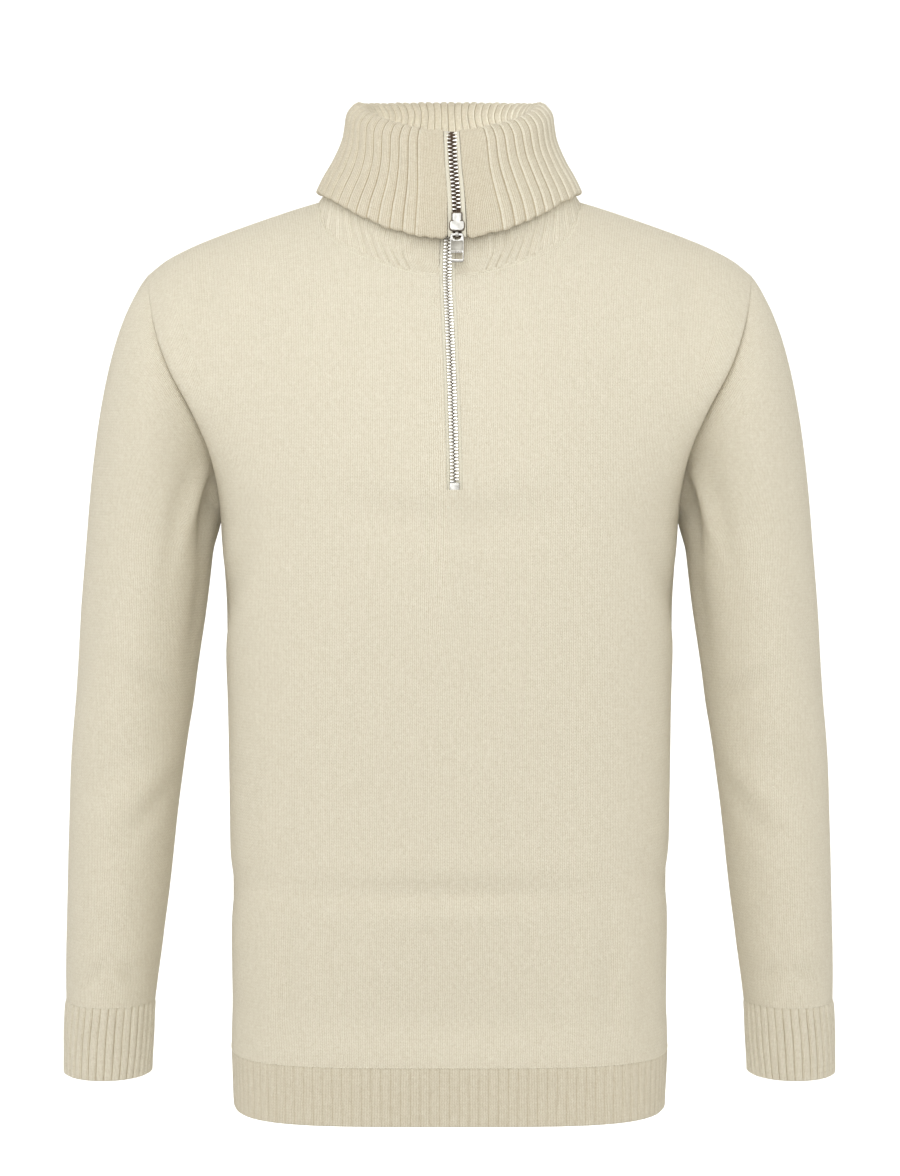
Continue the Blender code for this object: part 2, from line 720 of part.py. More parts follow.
def build_cuff(name, side, material):
    """A ribbed cuff: a valley and a crest for each rib outside, plain inside."""
    turns = (np.arange(2 * CUFF_RIBS) + 0.5) / (2 * CUFF_RIBS)
    raised = np.where(np.arange(2 * CUFF_RIBS) % 2 == 0, 0, CUFF_RAISE)[:, None]
    heights = np.linspace(CUFF_SEAM_Z - SEAM_GAP / 2, CUFF_BOTTOM_Z, 3)
    base = np.array([ring_point(CUFF, turns, z) for z in heights])
    normals = grid_normals(base, closed=True)
    normals[..., 2] = 0
    normals = unit(normals)
    outward = ((base - base.mean(axis=1, keepdims=True)) * normals).sum() > 0
    normals = normals if outward else -normals
    flip = np.array([side, 1, 1])
    outer = (base + normals * (raised - CUFF_RAISE / 2)) * flip
    inner = (base - normals * RIB_WALL)[:, ::2] * flip
    return wall(name, outer, inner, material, closed=True, sharp=RIB_SHARP)


def build_hem(name, face, material):
    """A ribbed band below one panel, from side seam to side seam."""
    count = 2 * HEM_RIBS + 1
    share = np.linspace(-1, 1, count)
    across = even_lines(share, face)
    heights = [HEM_SEAM_Z, HEM_BOTTOM_Z]
    gap = SEAM_GAP / 2 * (0 if face == FRONT else 2)
    rows = []
    for z in heights:
        row = level_point(np.abs(across), np.float64(z), face)
        row[:, 0] *= np.sign(across)
        rows.append(row)
    base = np.array(rows)
    along = np.gradient(base, axis=1)
    normals = unit(np.stack([along[..., 1], -along[..., 0], 0 * along[..., 0]], axis=-1))
    normals *= np.sign((normals[:, count // 2] * np.array([0, face, 0])).sum())
    normals[:, 0] = (-1, 0, 0)
    normals[:, -1] = (1, 0, 0)
    raised = np.where(np.arange(count) % 2 == 0, 0, HEM_RAISE)[:, None]
    outer = base + normals * (raised - HEM_RAISE / 2)
    inner = (base - normals * RIB_WALL)[:, ::2]
    outer[:, [0, -1], 1] += gap
    inner[:, [0, -1], 1] += gap
    return wall(name, outer, inner, material, sharp=RIB_SHARP)


def even_lines(share, face):
    """Angles across the hem that space its ribs evenly round the outline."""
    fine = np.linspace(0, 1, 400)
    outline = level_point(fine, np.float64(HEM_BOTTOM_Z), face)
    steps = np.linalg.norm(np.diff(outline, axis=0), axis=1)
    walked = np.concatenate([[0], np.cumsum(steps)])
    return np.sign(share) * np.interp(np.abs(share), walked / walked[-1], fine)


# ---- collar -------------------------------------------------------------------------------


def collar_ring(row, phi):
    """The points of one of the table's rings at the angles phi, 0 at the front."""
    ahead = np.cos(phi)
    depth = np.where(ahead > 0, row.ahead + COLLAR_MIDDLE_Y / MM, row.behind - COLLAR_MIDDLE_Y / MM)
    height = np.where(
        ahead > 0,
        row.side + (row.front - row.side) * np.abs(ahead) ** row.droop,
        row.side + (row.back - row.side) * np.abs(ahead) ** BACK_RISE,
    )
    return np.stack(
        [row.half_width * np.sin(phi) * MM, COLLAR_MIDDLE_Y - ahead * depth * MM, height * MM],
        axis=-1,
    )


def neck_loop():
    """The neck edge of both panels, from the front's middle round the +X side to the back's.

    Gives the outer points, the directions that split the shoulder from the collar, and the
    angle of each about the collar's middle.
    """
    points, ways = [], []
    for face, folds in ((FRONT, FRONT_FOLDS), (BACK, BACK_FOLDS)):
        grid, normals = half_panel(face, folds)
        edge = grid[-1, :NECK_LINES].copy()
        way = neck_directions(grid, seam_normals(grid, normals, face))
        edge[0, 0] = 0
        points.append(edge if face == FRONT else edge[-2::-1])
        ways.append(way if face == FRONT else way[-2::-1])
    points = np.concatenate(points)
    ways = np.concatenate(ways)
    angles = np.arctan2(points[:, 0], -(points[:, 1] - COLLAR_MIDDLE_Y))
    return points, ways, angles


def collar_angles(row):
    """The angles of the collar's columns at this ring, from edge to edge of the slit."""
    start = math.asin((row.slit + row.drift) / row.half_width)
    end = math.asin((row.slit - row.drift) / row.half_width)
    even = 1 - COLLAR_CROWD
    turns = np.linspace(start / even, 2 * math.pi - end / even, 2 * COLLAR_RIBS + 1)
    return turns - COLLAR_CROWD * np.sin(2 * turns) / 2


def collar_foot(phi):
    """The stand's foot: its outer points, just above the neck edge, and its neck side."""
    points, ways, angles = neck_loop()
    beside = np.where(phi > math.pi, 2 * math.pi - phi, phi)
    flip = np.where(phi > math.pi, -1.0, 1.0)
    outer = np.stack([np.interp(beside, angles, points[:, k]) for k in range(3)], axis=-1)
    way = unit(np.stack([np.interp(beside, angles, ways[:, k]) for k in range(3)], axis=-1))
    outer[:, 0] *= flip
    way[:, 0] *= flip
    along = unit(np.gradient(outer, axis=0))
    off = unit(np.cross(along, way))
    off *= np.sign(off[:, 2:3])
    radial = unit((outer - np.array([0, COLLAR_MIDDLE_Y, 0])) * np.array([1, 1, 0]))
    stand = unit(radial + np.array([0, 0, STAND_LEAN]))
    lean = np.clip((way * stand).sum(-1, keepdims=True), LEAST_LEAN, 1)
    outer = outer + off * FOOT_GAP
    return outer, outer - way * COLLAR_WALL / lean


def build_collar(name, material):
    """Stand, roll and fall as one wall, ribbed on the side that shows, plain on the other."""
    rings = np.array([collar_ring(row, collar_angles(row)) for row in COLLAR])
    foot_out, foot_in = collar_foot(collar_angles(COLLAR[0]))
    middle = np.concatenate([((foot_out + foot_in) / 2)[None], rings])
    along = np.gradient(middle, axis=1)
    up = np.gradient(middle, axis=0)
    normals = unit(np.cross(along, up))
    # Towards the neck on the stand, and so up on the roll and outwards on the fall.
    inward = (normals[1] * (middle[1] * np.array([1, 1, 0]))).sum() > 0
    normals = -normals if inward else normals
    count = middle.shape[1]
    raised = np.where(np.arange(count) % 2 == 0, 0, COLLAR_RAISE)[:, None]
    shown = middle + normals * (COLLAR_WALL / 2 + raised - COLLAR_RAISE / 2)
    plain = middle - normals * COLLAR_WALL / 2
    shown[0], plain[0] = foot_in, foot_out
    edges = COLLAR[:1] + COLLAR
    for grid in (shown, plain):
        grid[:, 0, 0] = [(row.drift + row.slit) * MM for row in edges]
        grid[:, -1, 0] = [(row.drift - row.slit) * MM for row in edges]
    return wall(name, shown, plain[:, ::2], material, sharp=RIB_SHARP)


# ---- zip ----------------------------------------------------------------------------------

ROUNDING = 0.9 * MM  # how far the zip bulges between two rows of the roll


def centre_path():
    """The middle of the cloth along the zip: up the body, stand, roll and fall.

    Gives the points, how many of them lie on the body, and the row of the roll's top.
    """
    outer, inner = panel_sides(FRONT, FRONT_FOLDS)
    below = len(LOWER_ROWS) + 1
    body = (outer[below:, 0] + inner[below:, 0]) / 2
    share = (TAPE_END_Z - body[0, 2]) / (body[1, 2] - body[0, 2])
    body[0] += share * (body[1] - body[0])
    body[:, 0] = BODY_DRIFT(body[:, 2] / MM) * MM
    collar = np.array([collar_ring(row, np.float64(0)) for row in COLLAR])
    collar[:, 0] = [row.drift * MM for row in COLLAR]
    top = [row.name for row in COLLAR].index("roll_top")
    roll_in = (collar[top - 1] + collar[top]) / 2 + np.array([0, ROUNDING, ROUNDING])
    roll_out = (collar[top] + collar[top + 1]) / 2 + np.array([0, -ROUNDING, ROUNDING])
    turn = [roll_in], collar[top : top + 1], [roll_out]
    path = np.concatenate([body, collar[:top], *turn, collar[top + 1 :]])
    return path, len(body), len(body) + top + 1


def strip(name, path, near, far, offset, thick, material, mirror=1, level_end=None):
    """A flat strip along a path: near and far are its edges in x at each row of the path.

    level_end is the row at which the strip runs level, forwards over the roll.
    """
    slope = np.gradient(path, axis=0) * np.array([0, 1, 1])
    if level_end is not None:
        slope[level_end] = (0, -1, 0)
    out = unit(np.cross(slope, np.array([-1, 0, 0])))
    offset = np.broadcast_to(offset, len(path))[:, None]
    sides = []
    for level in (offset + thick / 2, offset - thick / 2):
        place = path + out * level
        edges = [place.copy(), place.copy()]
        edges[0][:, 0] += mirror * near
        edges[1][:, 0] += mirror * far
        sides.append(np.stack(edges, axis=1))
    return wall(name, *sides, material)


def build_zip(cloth, metal):
    """Tapes, chain and bottom stop, all along the centre path."""
    path, stand_row, roll_row = centre_path()
    rows = len(path)
    far = np.where(np.arange(rows) < stand_row - 1, TAPE_WIDE, TAPE_NARROW)
    depth = KNIT_WALL / 2 + TAPE_BEHIND + TAPE_THICK / 2
    behind = np.where(np.arange(rows) < stand_row, -depth, 0.0)
    for name, side in (("zip_tape_left", 1), ("zip_tape_right", -1)):
        strip(name, path, TAPE_INNER, far, behind, TAPE_THICK, cloth, side)
    body_path = cut_path(path[: roll_row + 1], STOP_TOP_Z + SEAM_GAP)
    chain = -CHAIN_HALF, CHAIN_HALF, 0.0, CHAIN_THICK, metal
    strip("zip_chain_body", body_path, *chain, level_end=-1)
    fall_path = path[roll_row:].copy()
    fall_path[0, 1] -= CHAIN_BREAK
    keep = fall_path[:, 2] > SLIDER_TOP_Z + SHORT_STEP
    end = point_at(fall_path[::-1], SLIDER_TOP_Z + SEAM_GAP)
    strip("zip_chain_fall", np.concatenate([fall_path[keep], [end]]), *chain, level_end=0)
    stop_ends = [point_at(path[: roll_row + 1], z) for z in (STOP_BOTTOM_Z, STOP_TOP_Z)]
    stop_path = np.linspace(*stop_ends, 3)
    stop = strip("zip_stop", stop_path, -STOP_HALF, STOP_HALF, STOP_AHEAD, STOP_THICK, metal)
    soften_edges(stop, 0.4 * MM)


def point_at(rising, z):
    """The point of a rising path at the height z."""
    return np.array([np.interp(z, rising[:, 2], rising[:, k]) for k in range(3)])


def cut_path(rising, low_z):
    """The part of a rising path above low_z."""
    above = rising[rising[:, 2] > low_z + SHORT_STEP / 3]
    return np.concatenate([[point_at(rising, low_z)], above])


def soften_edges(obj, width):
    """A small bevel on an object's sharp edges."""
    bevel = obj.modifiers.new("edges", "BEVEL")
    bevel.width = width
    bevel.segments = 1
    bevel.limit_method = "ANGLE"
    bevel.angle_limit = math.radians(50)


def extruded(name, outline, low, high, material, axes=(0, 2, 1)):
    """An outline, drawn in the plane of the first two axes, thick along the third."""
    count = len(outline)
    points = []
    for depth in (low, high):
        for first, second in outline:
            point = [0.0, 0.0, 0.0]
            point[axes[0]], point[axes[1]], point[axes[2]] = first, second, depth
            points.append(point)
    faces = [tuple(range(count)), tuple(reversed(range(count, 2 * count)))]
    faces += [(k, k + count, (k + 1) % count + count, (k + 1) % count) for k in range(count)]
    return add_object(name, points, faces, material, sharp=25)


def boolean(obj, other, operation):
    """Joins or cuts with another object, which is then only a helper."""
    modifier = obj.modifiers.new(other.name, "BOOLEAN")
    modifier.object = other
    modifier.operation = operation
    other.hide_render = True
    other.display_type = "WIRE"


def disc(radius, centre, count=24):
    """A circle's points in a plane."""
    angles = np.arange(count) * 2 * math.pi / count
    return [(centre[0] + radius * math.cos(a), centre[1] + radius * math.sin(a)) for a in angles]


def slider_middle():
    """Where the fall's zip runs through the middle of the slider."""
    path, _, roll_row = centre_path()
    return point_at(path[roll_row:][::-1], (SLIDER_TOP_Z + SLIDER_BOTTOM_Z) / 2)


def build_slider(metal):
    """Two plates joined by a core, and the ring that carries the tab."""
    across, middle, _ = slider_middle()
    top, bottom = SLIDER_TOP_Z, SLIDER_BOTTOM_Z
    waist = top - SLIDER_WAIST
    corner = SLIDER_CORNER
    outline = [
        (-SLIDER_NECK_HALF, top),
        (SLIDER_NECK_HALF, top),
        (SLIDER_NECK_HALF, waist),
        (SLIDER_HALF, waist - 2 * corner),
        (SLIDER_HALF, bottom + corner),
        (SLIDER_HALF - corner, bottom),
        (-SLIDER_HALF + corner, bottom),
        (-SLIDER_HALF, bottom + corner),
        (-SLIDER_HALF, waist - 2 * corner),
        (-SLIDER_NECK_HALF, waist),
    ]
    reach = SLIDER_CLEAR + SLIDER_PLATE
    body = extruded("zip_slider", outline, middle - reach, middle + reach, metal)
    for side in (-1, 1):
        beyond = side * 1.5 * SLIDER_HALF
        channel = [
            (side * SLIDER_CORE_HALF, top + THROUGH),
            (beyond, top + THROUGH),
            (beyond, bottom - THROUGH),
            (side * SLIDER_CORE_HALF, bottom - THROUGH),
        ]
        low, high = middle - SLIDER_CLEAR, middle + SLIDER_CLEAR
        cutter = extruded(f"slider_channel_{side}", channel, low, high, metal)
        boolean(body, cutter, "DIFFERENCE")
    pivot_y = middle - PIVOT_AHEAD
    ring = extruded(
        "slider_ring", disc(RING_OUTER, (pivot_y, PIVOT_Z)), -RING_HALF, RING_HALF, metal, (1, 2, 0)
    )
    lug = extruded(
        "slider_lug",
        [
            (pivot_y + RING_HALF, PIVOT_Z + LUG_DEEP / 2),
            (middle + LUG_DEEP, PIVOT_Z + LUG_DEEP),
            (middle + LUG_DEEP, bottom + LUG_DEEP),
            (middle - reach + LUG_DEEP / 3, bottom + LUG_DEEP),
            (pivot_y, PIVOT_Z + (RING_BORE + RING_OUTER) / 2),
        ],
        -LUG_HALF,
        LUG_HALF,
        metal,
        (1, 2, 0),
    )
    bore = extruded(
        "slider_bore", disc(RING_BORE, (pivot_y, PIVOT_Z)), -THROUGH, THROUGH, metal, (1, 2, 0)
    )
    boolean(body, ring, "UNION")
    boolean(body, lug, "UNION")
    boolean(body, bore, "DIFFERENCE")
    for piece in (ring, lug, bore):
        piece.location.x = across
    for piece in [body] + [bpy.data.objects[f"slider_channel_{side}"] for side in (-1, 1)]:
        piece.location.x = across
    return across, pivot_y, PIVOT_Z


def build_tab(metal, place):
    """The tab: a top bar in the slider's ring, an arched window below it and a slot."""
    pivot = bpy.data.objects.new("tab_pivot", None)
    pivot.location = place
    bpy.context.scene.collection.objects.link(pivot)
    bottom = TAB_BOTTOM_Z - PIVOT_Z
    corner = TAB_CORNER
    outline = [
        (-TAB_HALF + corner, TAB_TOP),
        (TAB_HALF - corner, TAB_TOP),
        (TAB_HALF, TAB_TOP - corner),
        (TAB_HALF, bottom + corner),
        (TAB_HALF - corner, bottom),
        (-TAB_HALF + corner, bottom),
        (-TAB_HALF, bottom + corner),
        (-TAB_HALF, TAB_TOP - corner),
    ]
    tab = extruded("pull_tab", outline, -TAB_THICK / 2, TAB_THICK / 2, metal)
    arch = [(x, z) for x, z in disc(TAB_WINDOW, (0, -TAB_TOP), 24) if z <= -TAB_TOP + 1e-6]
    window = extruded("tab_window", arch, -THROUGH, THROUGH, metal)
    half, low, high = TAB_SLOT
    hole = [
        (-half, low - PIVOT_Z),
        (half, low - PIVOT_Z),
        (half, high - PIVOT_Z),
        (-half, high - PIVOT_Z),
    ]
    slot = extruded("tab_slot", hole, -THROUGH, THROUGH, metal)
    for piece in (tab, window, slot):
        piece.parent = pivot
    boolean(tab, window, "DIFFERENCE")
    boolean(tab, slot, "DIFFERENCE")


# ---- the sweater --------------------------------------------------------------------------


def finish(name, colour, roughness, metallic=0.0):
    """A plain Principled material."""
    material = bpy.data.materials.new(name)
    material.use_nodes = True
    shader = material.node_tree.nodes["Principled BSDF"]
    shader.inputs["Base Color"].default_value = (*colour, 1)
    shader.inputs["Roughness"].default_value = roughness
    shader.inputs["Metallic"].default_value = metallic
    return material


def main():
    """Clears the scene and builds every piece."""
    for obj in list(bpy.data.objects):
        bpy.data.objects.remove(obj)
    build_panel("front", FRONT, FRONT_FOLDS, finish("front_knit", WOOL, 0.9))
    build_panel("back", BACK, BACK_FOLDS, finish("back_knit", WOOL, 0.9))
    for name, side in (("left", 1), ("right", -1)):
        build_sleeve(f"sleeve_{name}", side, finish(f"sleeve_{name}_knit", WOOL, 0.9))
        build_cuff(f"cuff_{name}", side, finish(f"cuff_{name}_rib", WOOL, 0.9))
    build_hem("hem_front", FRONT, finish("hem_front_rib", WOOL, 0.9))
    build_hem("hem_back", BACK, finish("hem_back_rib", WOOL, 0.9))
    build_collar("collar", finish("collar_rib", WOOL, 0.9))
    metal = finish("zip_metal", METAL, 0.3, 1.0)
    build_zip(finish("zip_tape", TAPE_CLOTH, 0.8), metal)
    build_tab(metal, build_slider(metal))


main()
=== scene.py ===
"""Half-zip sweater in cream wool, dressed over its fixed frame.

The plain knit, the ribs, the linked seams and the zip are modelled as a knitter and a zip maker
would describe them. Lengths are metres, tables marked so are millimetres, +Z is up, the front
faces -Y and the wearer's left arm is at +X.
"""

from __future__ import annotations

import json
import logging
import math
from collections.abc import Callable
from dataclasses import dataclass, field
from enum import Enum

import bmesh
import bpy
import numpy as np
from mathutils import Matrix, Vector


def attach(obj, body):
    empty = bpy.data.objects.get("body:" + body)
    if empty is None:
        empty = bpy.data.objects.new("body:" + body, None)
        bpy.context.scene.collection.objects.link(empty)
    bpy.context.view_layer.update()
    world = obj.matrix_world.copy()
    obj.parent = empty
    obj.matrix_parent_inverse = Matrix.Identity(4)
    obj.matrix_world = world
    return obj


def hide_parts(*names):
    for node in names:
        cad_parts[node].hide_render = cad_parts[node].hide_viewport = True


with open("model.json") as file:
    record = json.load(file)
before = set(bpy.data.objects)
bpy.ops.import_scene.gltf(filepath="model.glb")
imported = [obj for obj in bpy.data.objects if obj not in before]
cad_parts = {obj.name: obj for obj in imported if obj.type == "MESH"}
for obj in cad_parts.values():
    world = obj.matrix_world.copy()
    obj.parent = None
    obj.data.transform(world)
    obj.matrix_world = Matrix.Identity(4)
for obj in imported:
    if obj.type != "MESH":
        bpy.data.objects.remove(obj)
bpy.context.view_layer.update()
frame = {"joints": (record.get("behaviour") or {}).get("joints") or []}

logging.basicConfig(level=logging.INFO, format="%(name)s: %(message)s")
log = logging.getLogger("sweater")

MM = 0.001
FULL_TURN = 2 * math.pi
STITCHES = "Stitches"  # the UV map, counted in stitches and courses
MIRROR = np.array([-1, 1, 1])  # from one side of the body to the other
LEVEL = np.array([1, 1, 0])  # keeps what is level of a direction
Grid = np.ndarray
Table = tuple[tuple[float, ...], ...]
Colour = tuple[float, float, float]
Place = tuple[float, float, float]
Outline = list[tuple[float, float]]
Object = bpy.types.Object
Material = bpy.types.Material
Socket = bpy.types.NodeSocket
Tree = bpy.types.NodeTree
Groups = dict[str, Tree]
Sockets = bpy.types.bpy_prop_collection
Value = Socket | float | tuple  # what an input takes: a link or a plain value
Names = tuple[str, ...]


class Face(Enum):
    """The two panels of the body, as the sign of their side along Y."""

    FRONT = -1
    BACK = 1


class Arm(Enum):
    """The wearer's arms, as the sign of their side along X."""

    LEFT = 1
    RIGHT = -1


# ---- curves ----


def hermite(start: Grid, leave: Grid, end: Grid, arrive: Grid, t: Grid) -> Grid:
    """The cubic between two points with given slopes.

    Args:
        start: The first point or value.
        leave: The slope at the start.
        end: The last point or value.
        arrive: The slope at the end.
        t: Where to read it, from 0 to 1.

    Returns:
        The curve's points at t.
    """
    t2 = t * t
    t3 = t2 * t
    share = 3 * t2 - 2 * t3
    return (1 - share) * start + (t3 - 2 * t2 + t) * leave + share * end + (t3 - t2) * arrive


def unit(vectors: Grid) -> Grid:
    """The vectors at a length of one."""
    return vectors / np.maximum(np.linalg.norm(vectors, axis=-1, keepdims=True), 1e-12)


def across_from(vectors: Grid, ways: Grid) -> Grid:
    """What is left of the vectors square to some directions."""
    return vectors - ways * (vectors * ways).sum(-1, keepdims=True)


def ease(t: Grid) -> Grid:
    """Rises smoothly from 0 to 1 as t does."""
    t = np.clip(t, 0, 1)
    return t * t * (3 - 2 * t)


def bell(distance: Grid, width: float) -> Grid:
    """1 at no distance and falling off smoothly over width."""
    return np.exp(-((distance / width) ** 2))


class SmoothTable:
    """Smooth functions of one named column of a table over its first column."""

    def __init__(self, rows: Table, names: str) -> None:
        """Keeps the table.

        Args:
            rows: The rows, whose first column may rise or fall.
            names: The names of the columns after the first.
        """
        table = np.array(rows, float)
        if table[0, 0] > table[-1, 0]:
            table = table[::-1]
        self.keys = table[:, 0]
        self.columns = dict(zip(names.split(), table[:, 1:].T))

    def read(self, name: str, at: Grid) -> Grid:
        """The named column at the given keys, which are held inside the table's own."""
        return smooth_rows(self.columns[name], self.keys, np.asarray(at, float))


def smooth_rows(values: Grid, keys: Grid, at: Grid) -> Grid:
    """Reads rows of values between their keys with a smooth cubic.

    Args:
        values: One value or array of values for each key.
        keys: The rising keys.
        at: Where to read.

    Returns:
        The values at those places.
    """
    slopes = np.gradient(values, keys, axis=0)
    at = np.clip(at, keys[0], keys[-1])
    low = np.clip(np.searchsorted(keys, at, side="right") - 1, 0, len(keys) - 2)
    step = keys[low + 1] - keys[low]
    t = (at - keys[low]) / step
    extra = (1,) * (np.ndim(values) - 1)
    t = t.reshape(t.shape + extra) if extra else t
    step = step.reshape(np.shape(step) + extra) if extra else step
    return hermite(values[low], slopes[low] * step, values[low + 1], slopes[low + 1] * step, t)


def read_line(line: Grid, key: Grid, at: Grid) -> Grid:
    """The points at some places along a line, whose own points lie at key."""
    return np.stack([np.interp(at, key, line[:, k]) for k in range(3)], axis=-1)


def walked(points: Grid, axis: int) -> Grid:
    """The length walked along a grid's axis, starting at 0."""
    steps = np.linalg.norm(np.diff(points, axis=axis), axis=-1)
    start = np.zeros_like(np.take(steps, [0], axis=axis))
    return np.concatenate([start, np.cumsum(steps, axis=axis)], axis=axis)


def from_edges(count: int, fixed: int) -> Grid:
    """0 at both ends of a row of places, rising smoothly to 1 over the fixed ones."""
    places = np.arange(count)
    return ease(np.minimum(places, places[::-1]) / fixed)


def grid_normals(points: Grid, closed: bool = False) -> Grid:
    """Unit normals of a grid.

    Args:
        points: Rows and columns of points.
        closed: Whether the columns run round.

    Returns:
        The normals, all on the same side, outwards for a form that bulges.
    """
    if closed:
        along = np.roll(points, -1, axis=1) - np.roll(points, 1, axis=1)
    else:
        along = np.gradient(points, axis=1)
    normals = unit(np.cross(along, np.gradient(points, axis=0)))
    inward = ((points - points.mean(axis=(0, 1))) * normals).sum() < 0
    return -normals if inward else normals


# ---- meshes ----


def quads(grid: Grid) -> Grid:
    """What a grid holds at the four corners of each of its cells."""
    return np.stack([grid[:-1, :-1], grid[:-1, 1:], grid[1:, 1:], grid[1:, :-1]], axis=2)


def repeated(cells: Grid, points: int, times: int) -> Grid:
    """The cells of one small form with this many points, for many of them in one mesh."""
    return (cells[None] + (np.arange(times) * points)[:, None, None]).reshape(-1, 4)


def linked(name: str, mesh: bpy.types.Mesh) -> Object:
    """A new object in the scene with this mesh."""
    obj = bpy.data.objects.new(name, mesh)
    bpy.context.scene.collection.objects.link(obj)
    return obj


def smoothed(mesh: bpy.types.Mesh, sharp: float) -> None:
    """Shades a mesh smooth but for edges from this angle in degrees up."""
    mesh.shade_smooth()
    mesh.set_sharp_from_angle(angle=math.radians(sharp))


def new_object(
    name: str, points: Grid, faces: Grid, uvs: Grid, material: Material, sharp: float
) -> Object:
    """A mesh object with one UV map, counted in stitches.

    Args:
        name: The object's name.
        points: Its points.
        faces: Its four-cornered faces.
        uvs: The place in the knit of each face's corners.
        material: Its finish.
        sharp: The angle in degrees from which an edge stays sharp.

    Returns:
        The new object.
    """
    mesh = bpy.data.meshes.new(name)
    mesh.from_pydata(points.tolist(), [], faces.tolist())
    layer = mesh.uv_layers.new(name=STITCHES)
    layer.data.foreach_set("uv", np.ascontiguousarray(uvs, np.float32).ravel())
    mesh.materials.append(material)
    smoothed(mesh, sharp)
    return linked(name, mesh)


@dataclass
class Wall:
    """A thin closed wall between an outer and an inner grid of points."""

    name: str
    outer: Grid
    inner: Grid
    stitches: Grid
    closed: bool = False
    breaks: dict[int, Grid] = field(default_factory=dict)
    banded: tuple[Grid, Grid] | None = None
    left_open: Grid | None = None
    sharp: float = 55.0

    def cell_uvs(self) -> Grid:
        """The stitches at each cell's corners; breaks gives a column of cells its own."""
        cells = quads(self.stitches)
        for first, other in self.breaks.items():
            cells[:, first:] = quads(other)[:, first:]
        if self.banded is not None:
            mask, other = self.banded
            cells = np.where(mask[..., None, None], quads(other), cells)
        return cells

    def build(self, material: Material) -> Object:
        """Makes the wall's mesh.

        Args:
            material: Its finish.

        Returns:
            The new object.
        """
        rows, lines = self.outer.shape[:2]
        count = rows * lines
        numbers = np.arange(count).reshape(rows, lines)
        if self.closed:
            numbers = np.concatenate([numbers, numbers[:, :1]], axis=1)
        cells = quads(numbers)
        uvs = self.cell_uvs()
        if self.left_open is not None:
            cells, uvs = cells[~self.left_open], uvs[~self.left_open]
        cells, uvs = cells.reshape(-1, 4), uvs.reshape(-1, 4, 2)
        points = np.concatenate([self.outer.reshape(-1, 3), self.inner.reshape(-1, 3)])
        starts, ends = cells.ravel(), np.roll(cells, -1, axis=1).ravel()
        corner_uv = uvs.reshape(-1, 2)
        next_uv = np.roll(uvs, -1, axis=1).reshape(-1, 2)
        rim = ~np.isin(starts * 2 * count + ends, ends * 2 * count + starts)
        a, b = starts[rim], ends[rim]
        rims = np.stack([b, a, a + count, b + count], axis=-1)
        rim_uvs = np.stack([next_uv[rim], corner_uv[rim], corner_uv[rim], next_uv[rim]], axis=1)
        faces = np.concatenate([cells, cells[:, ::-1] + count, rims])
        # Stitches below 0 along the knit lie on its inner side.
        all_uvs = np.concatenate([uvs, uvs[:, ::-1] * np.array([1, -1]), rim_uvs])
        corners = points[faces]
        if np.linalg.det(corners[:, :3]).sum() + np.linalg.det(corners[:, [0, 2, 3]]).sum() < 0:
            faces, all_uvs = faces[:, ::-1], all_uvs[:, ::-1]
        return new_object(self.name, points, faces, all_uvs, material, self.sharp)


def beads(
    name: str, places: Grid, ways: Grid, outs: Grid, size: Place, material: Material
) -> Object:
    """Many small rounded stitches in one mesh.

    Args:
        name: The object's name.
        places: The middle of each stitch.
        ways: The direction of its length.
        outs: The direction away from the cloth.
        size: Half its length, width and height.
        material: Its finish.

    Returns:
        The new object.
    """
    levels = np.array([-1.0, -0.72, 0.0, 0.72, 1.0])
    sectors, rings = 8, len(levels)
    count = sectors * rings
    ring = np.arange(sectors) * FULL_TURN / sectors
    radii = np.sqrt(np.clip(1.02 - levels**2, 0.02, 1))
    round_it = np.outer(radii, np.cos(ring)).ravel(), np.outer(radii, np.sin(ring)).ravel()
    shape = np.stack([np.repeat(levels, sectors), *round_it], axis=-1) * np.array(size)
    sides = np.cross(outs, ways)
    axes = np.stack([ways, sides, outs], axis=1)
    points = places[:, None] + np.einsum("pk,nkd->npd", shape, axes)
    numbers = np.arange(count).reshape(rings, sectors)
    numbers = np.concatenate([numbers, numbers[:, :1]], axis=1)
    cells = quads(numbers).reshape(-1, 4)
    ends = np.array([[0, 3, 2, 1], [0, 5, 4, 3], [0, 7, 6, 5]])
    cells = np.concatenate([cells, ends[:, ::-1], ends + count - sectors])
    faces = repeated(cells, count, len(places))
    uvs = np.tile(np.array([[0, 0], [0.3, 0], [0.3, 0.3], [0, 0.3]]), (len(faces), 1))
    return new_object(name, points.reshape(-1, 3), faces[:, ::-1], uvs, material, 80)


# ---- finishes ----


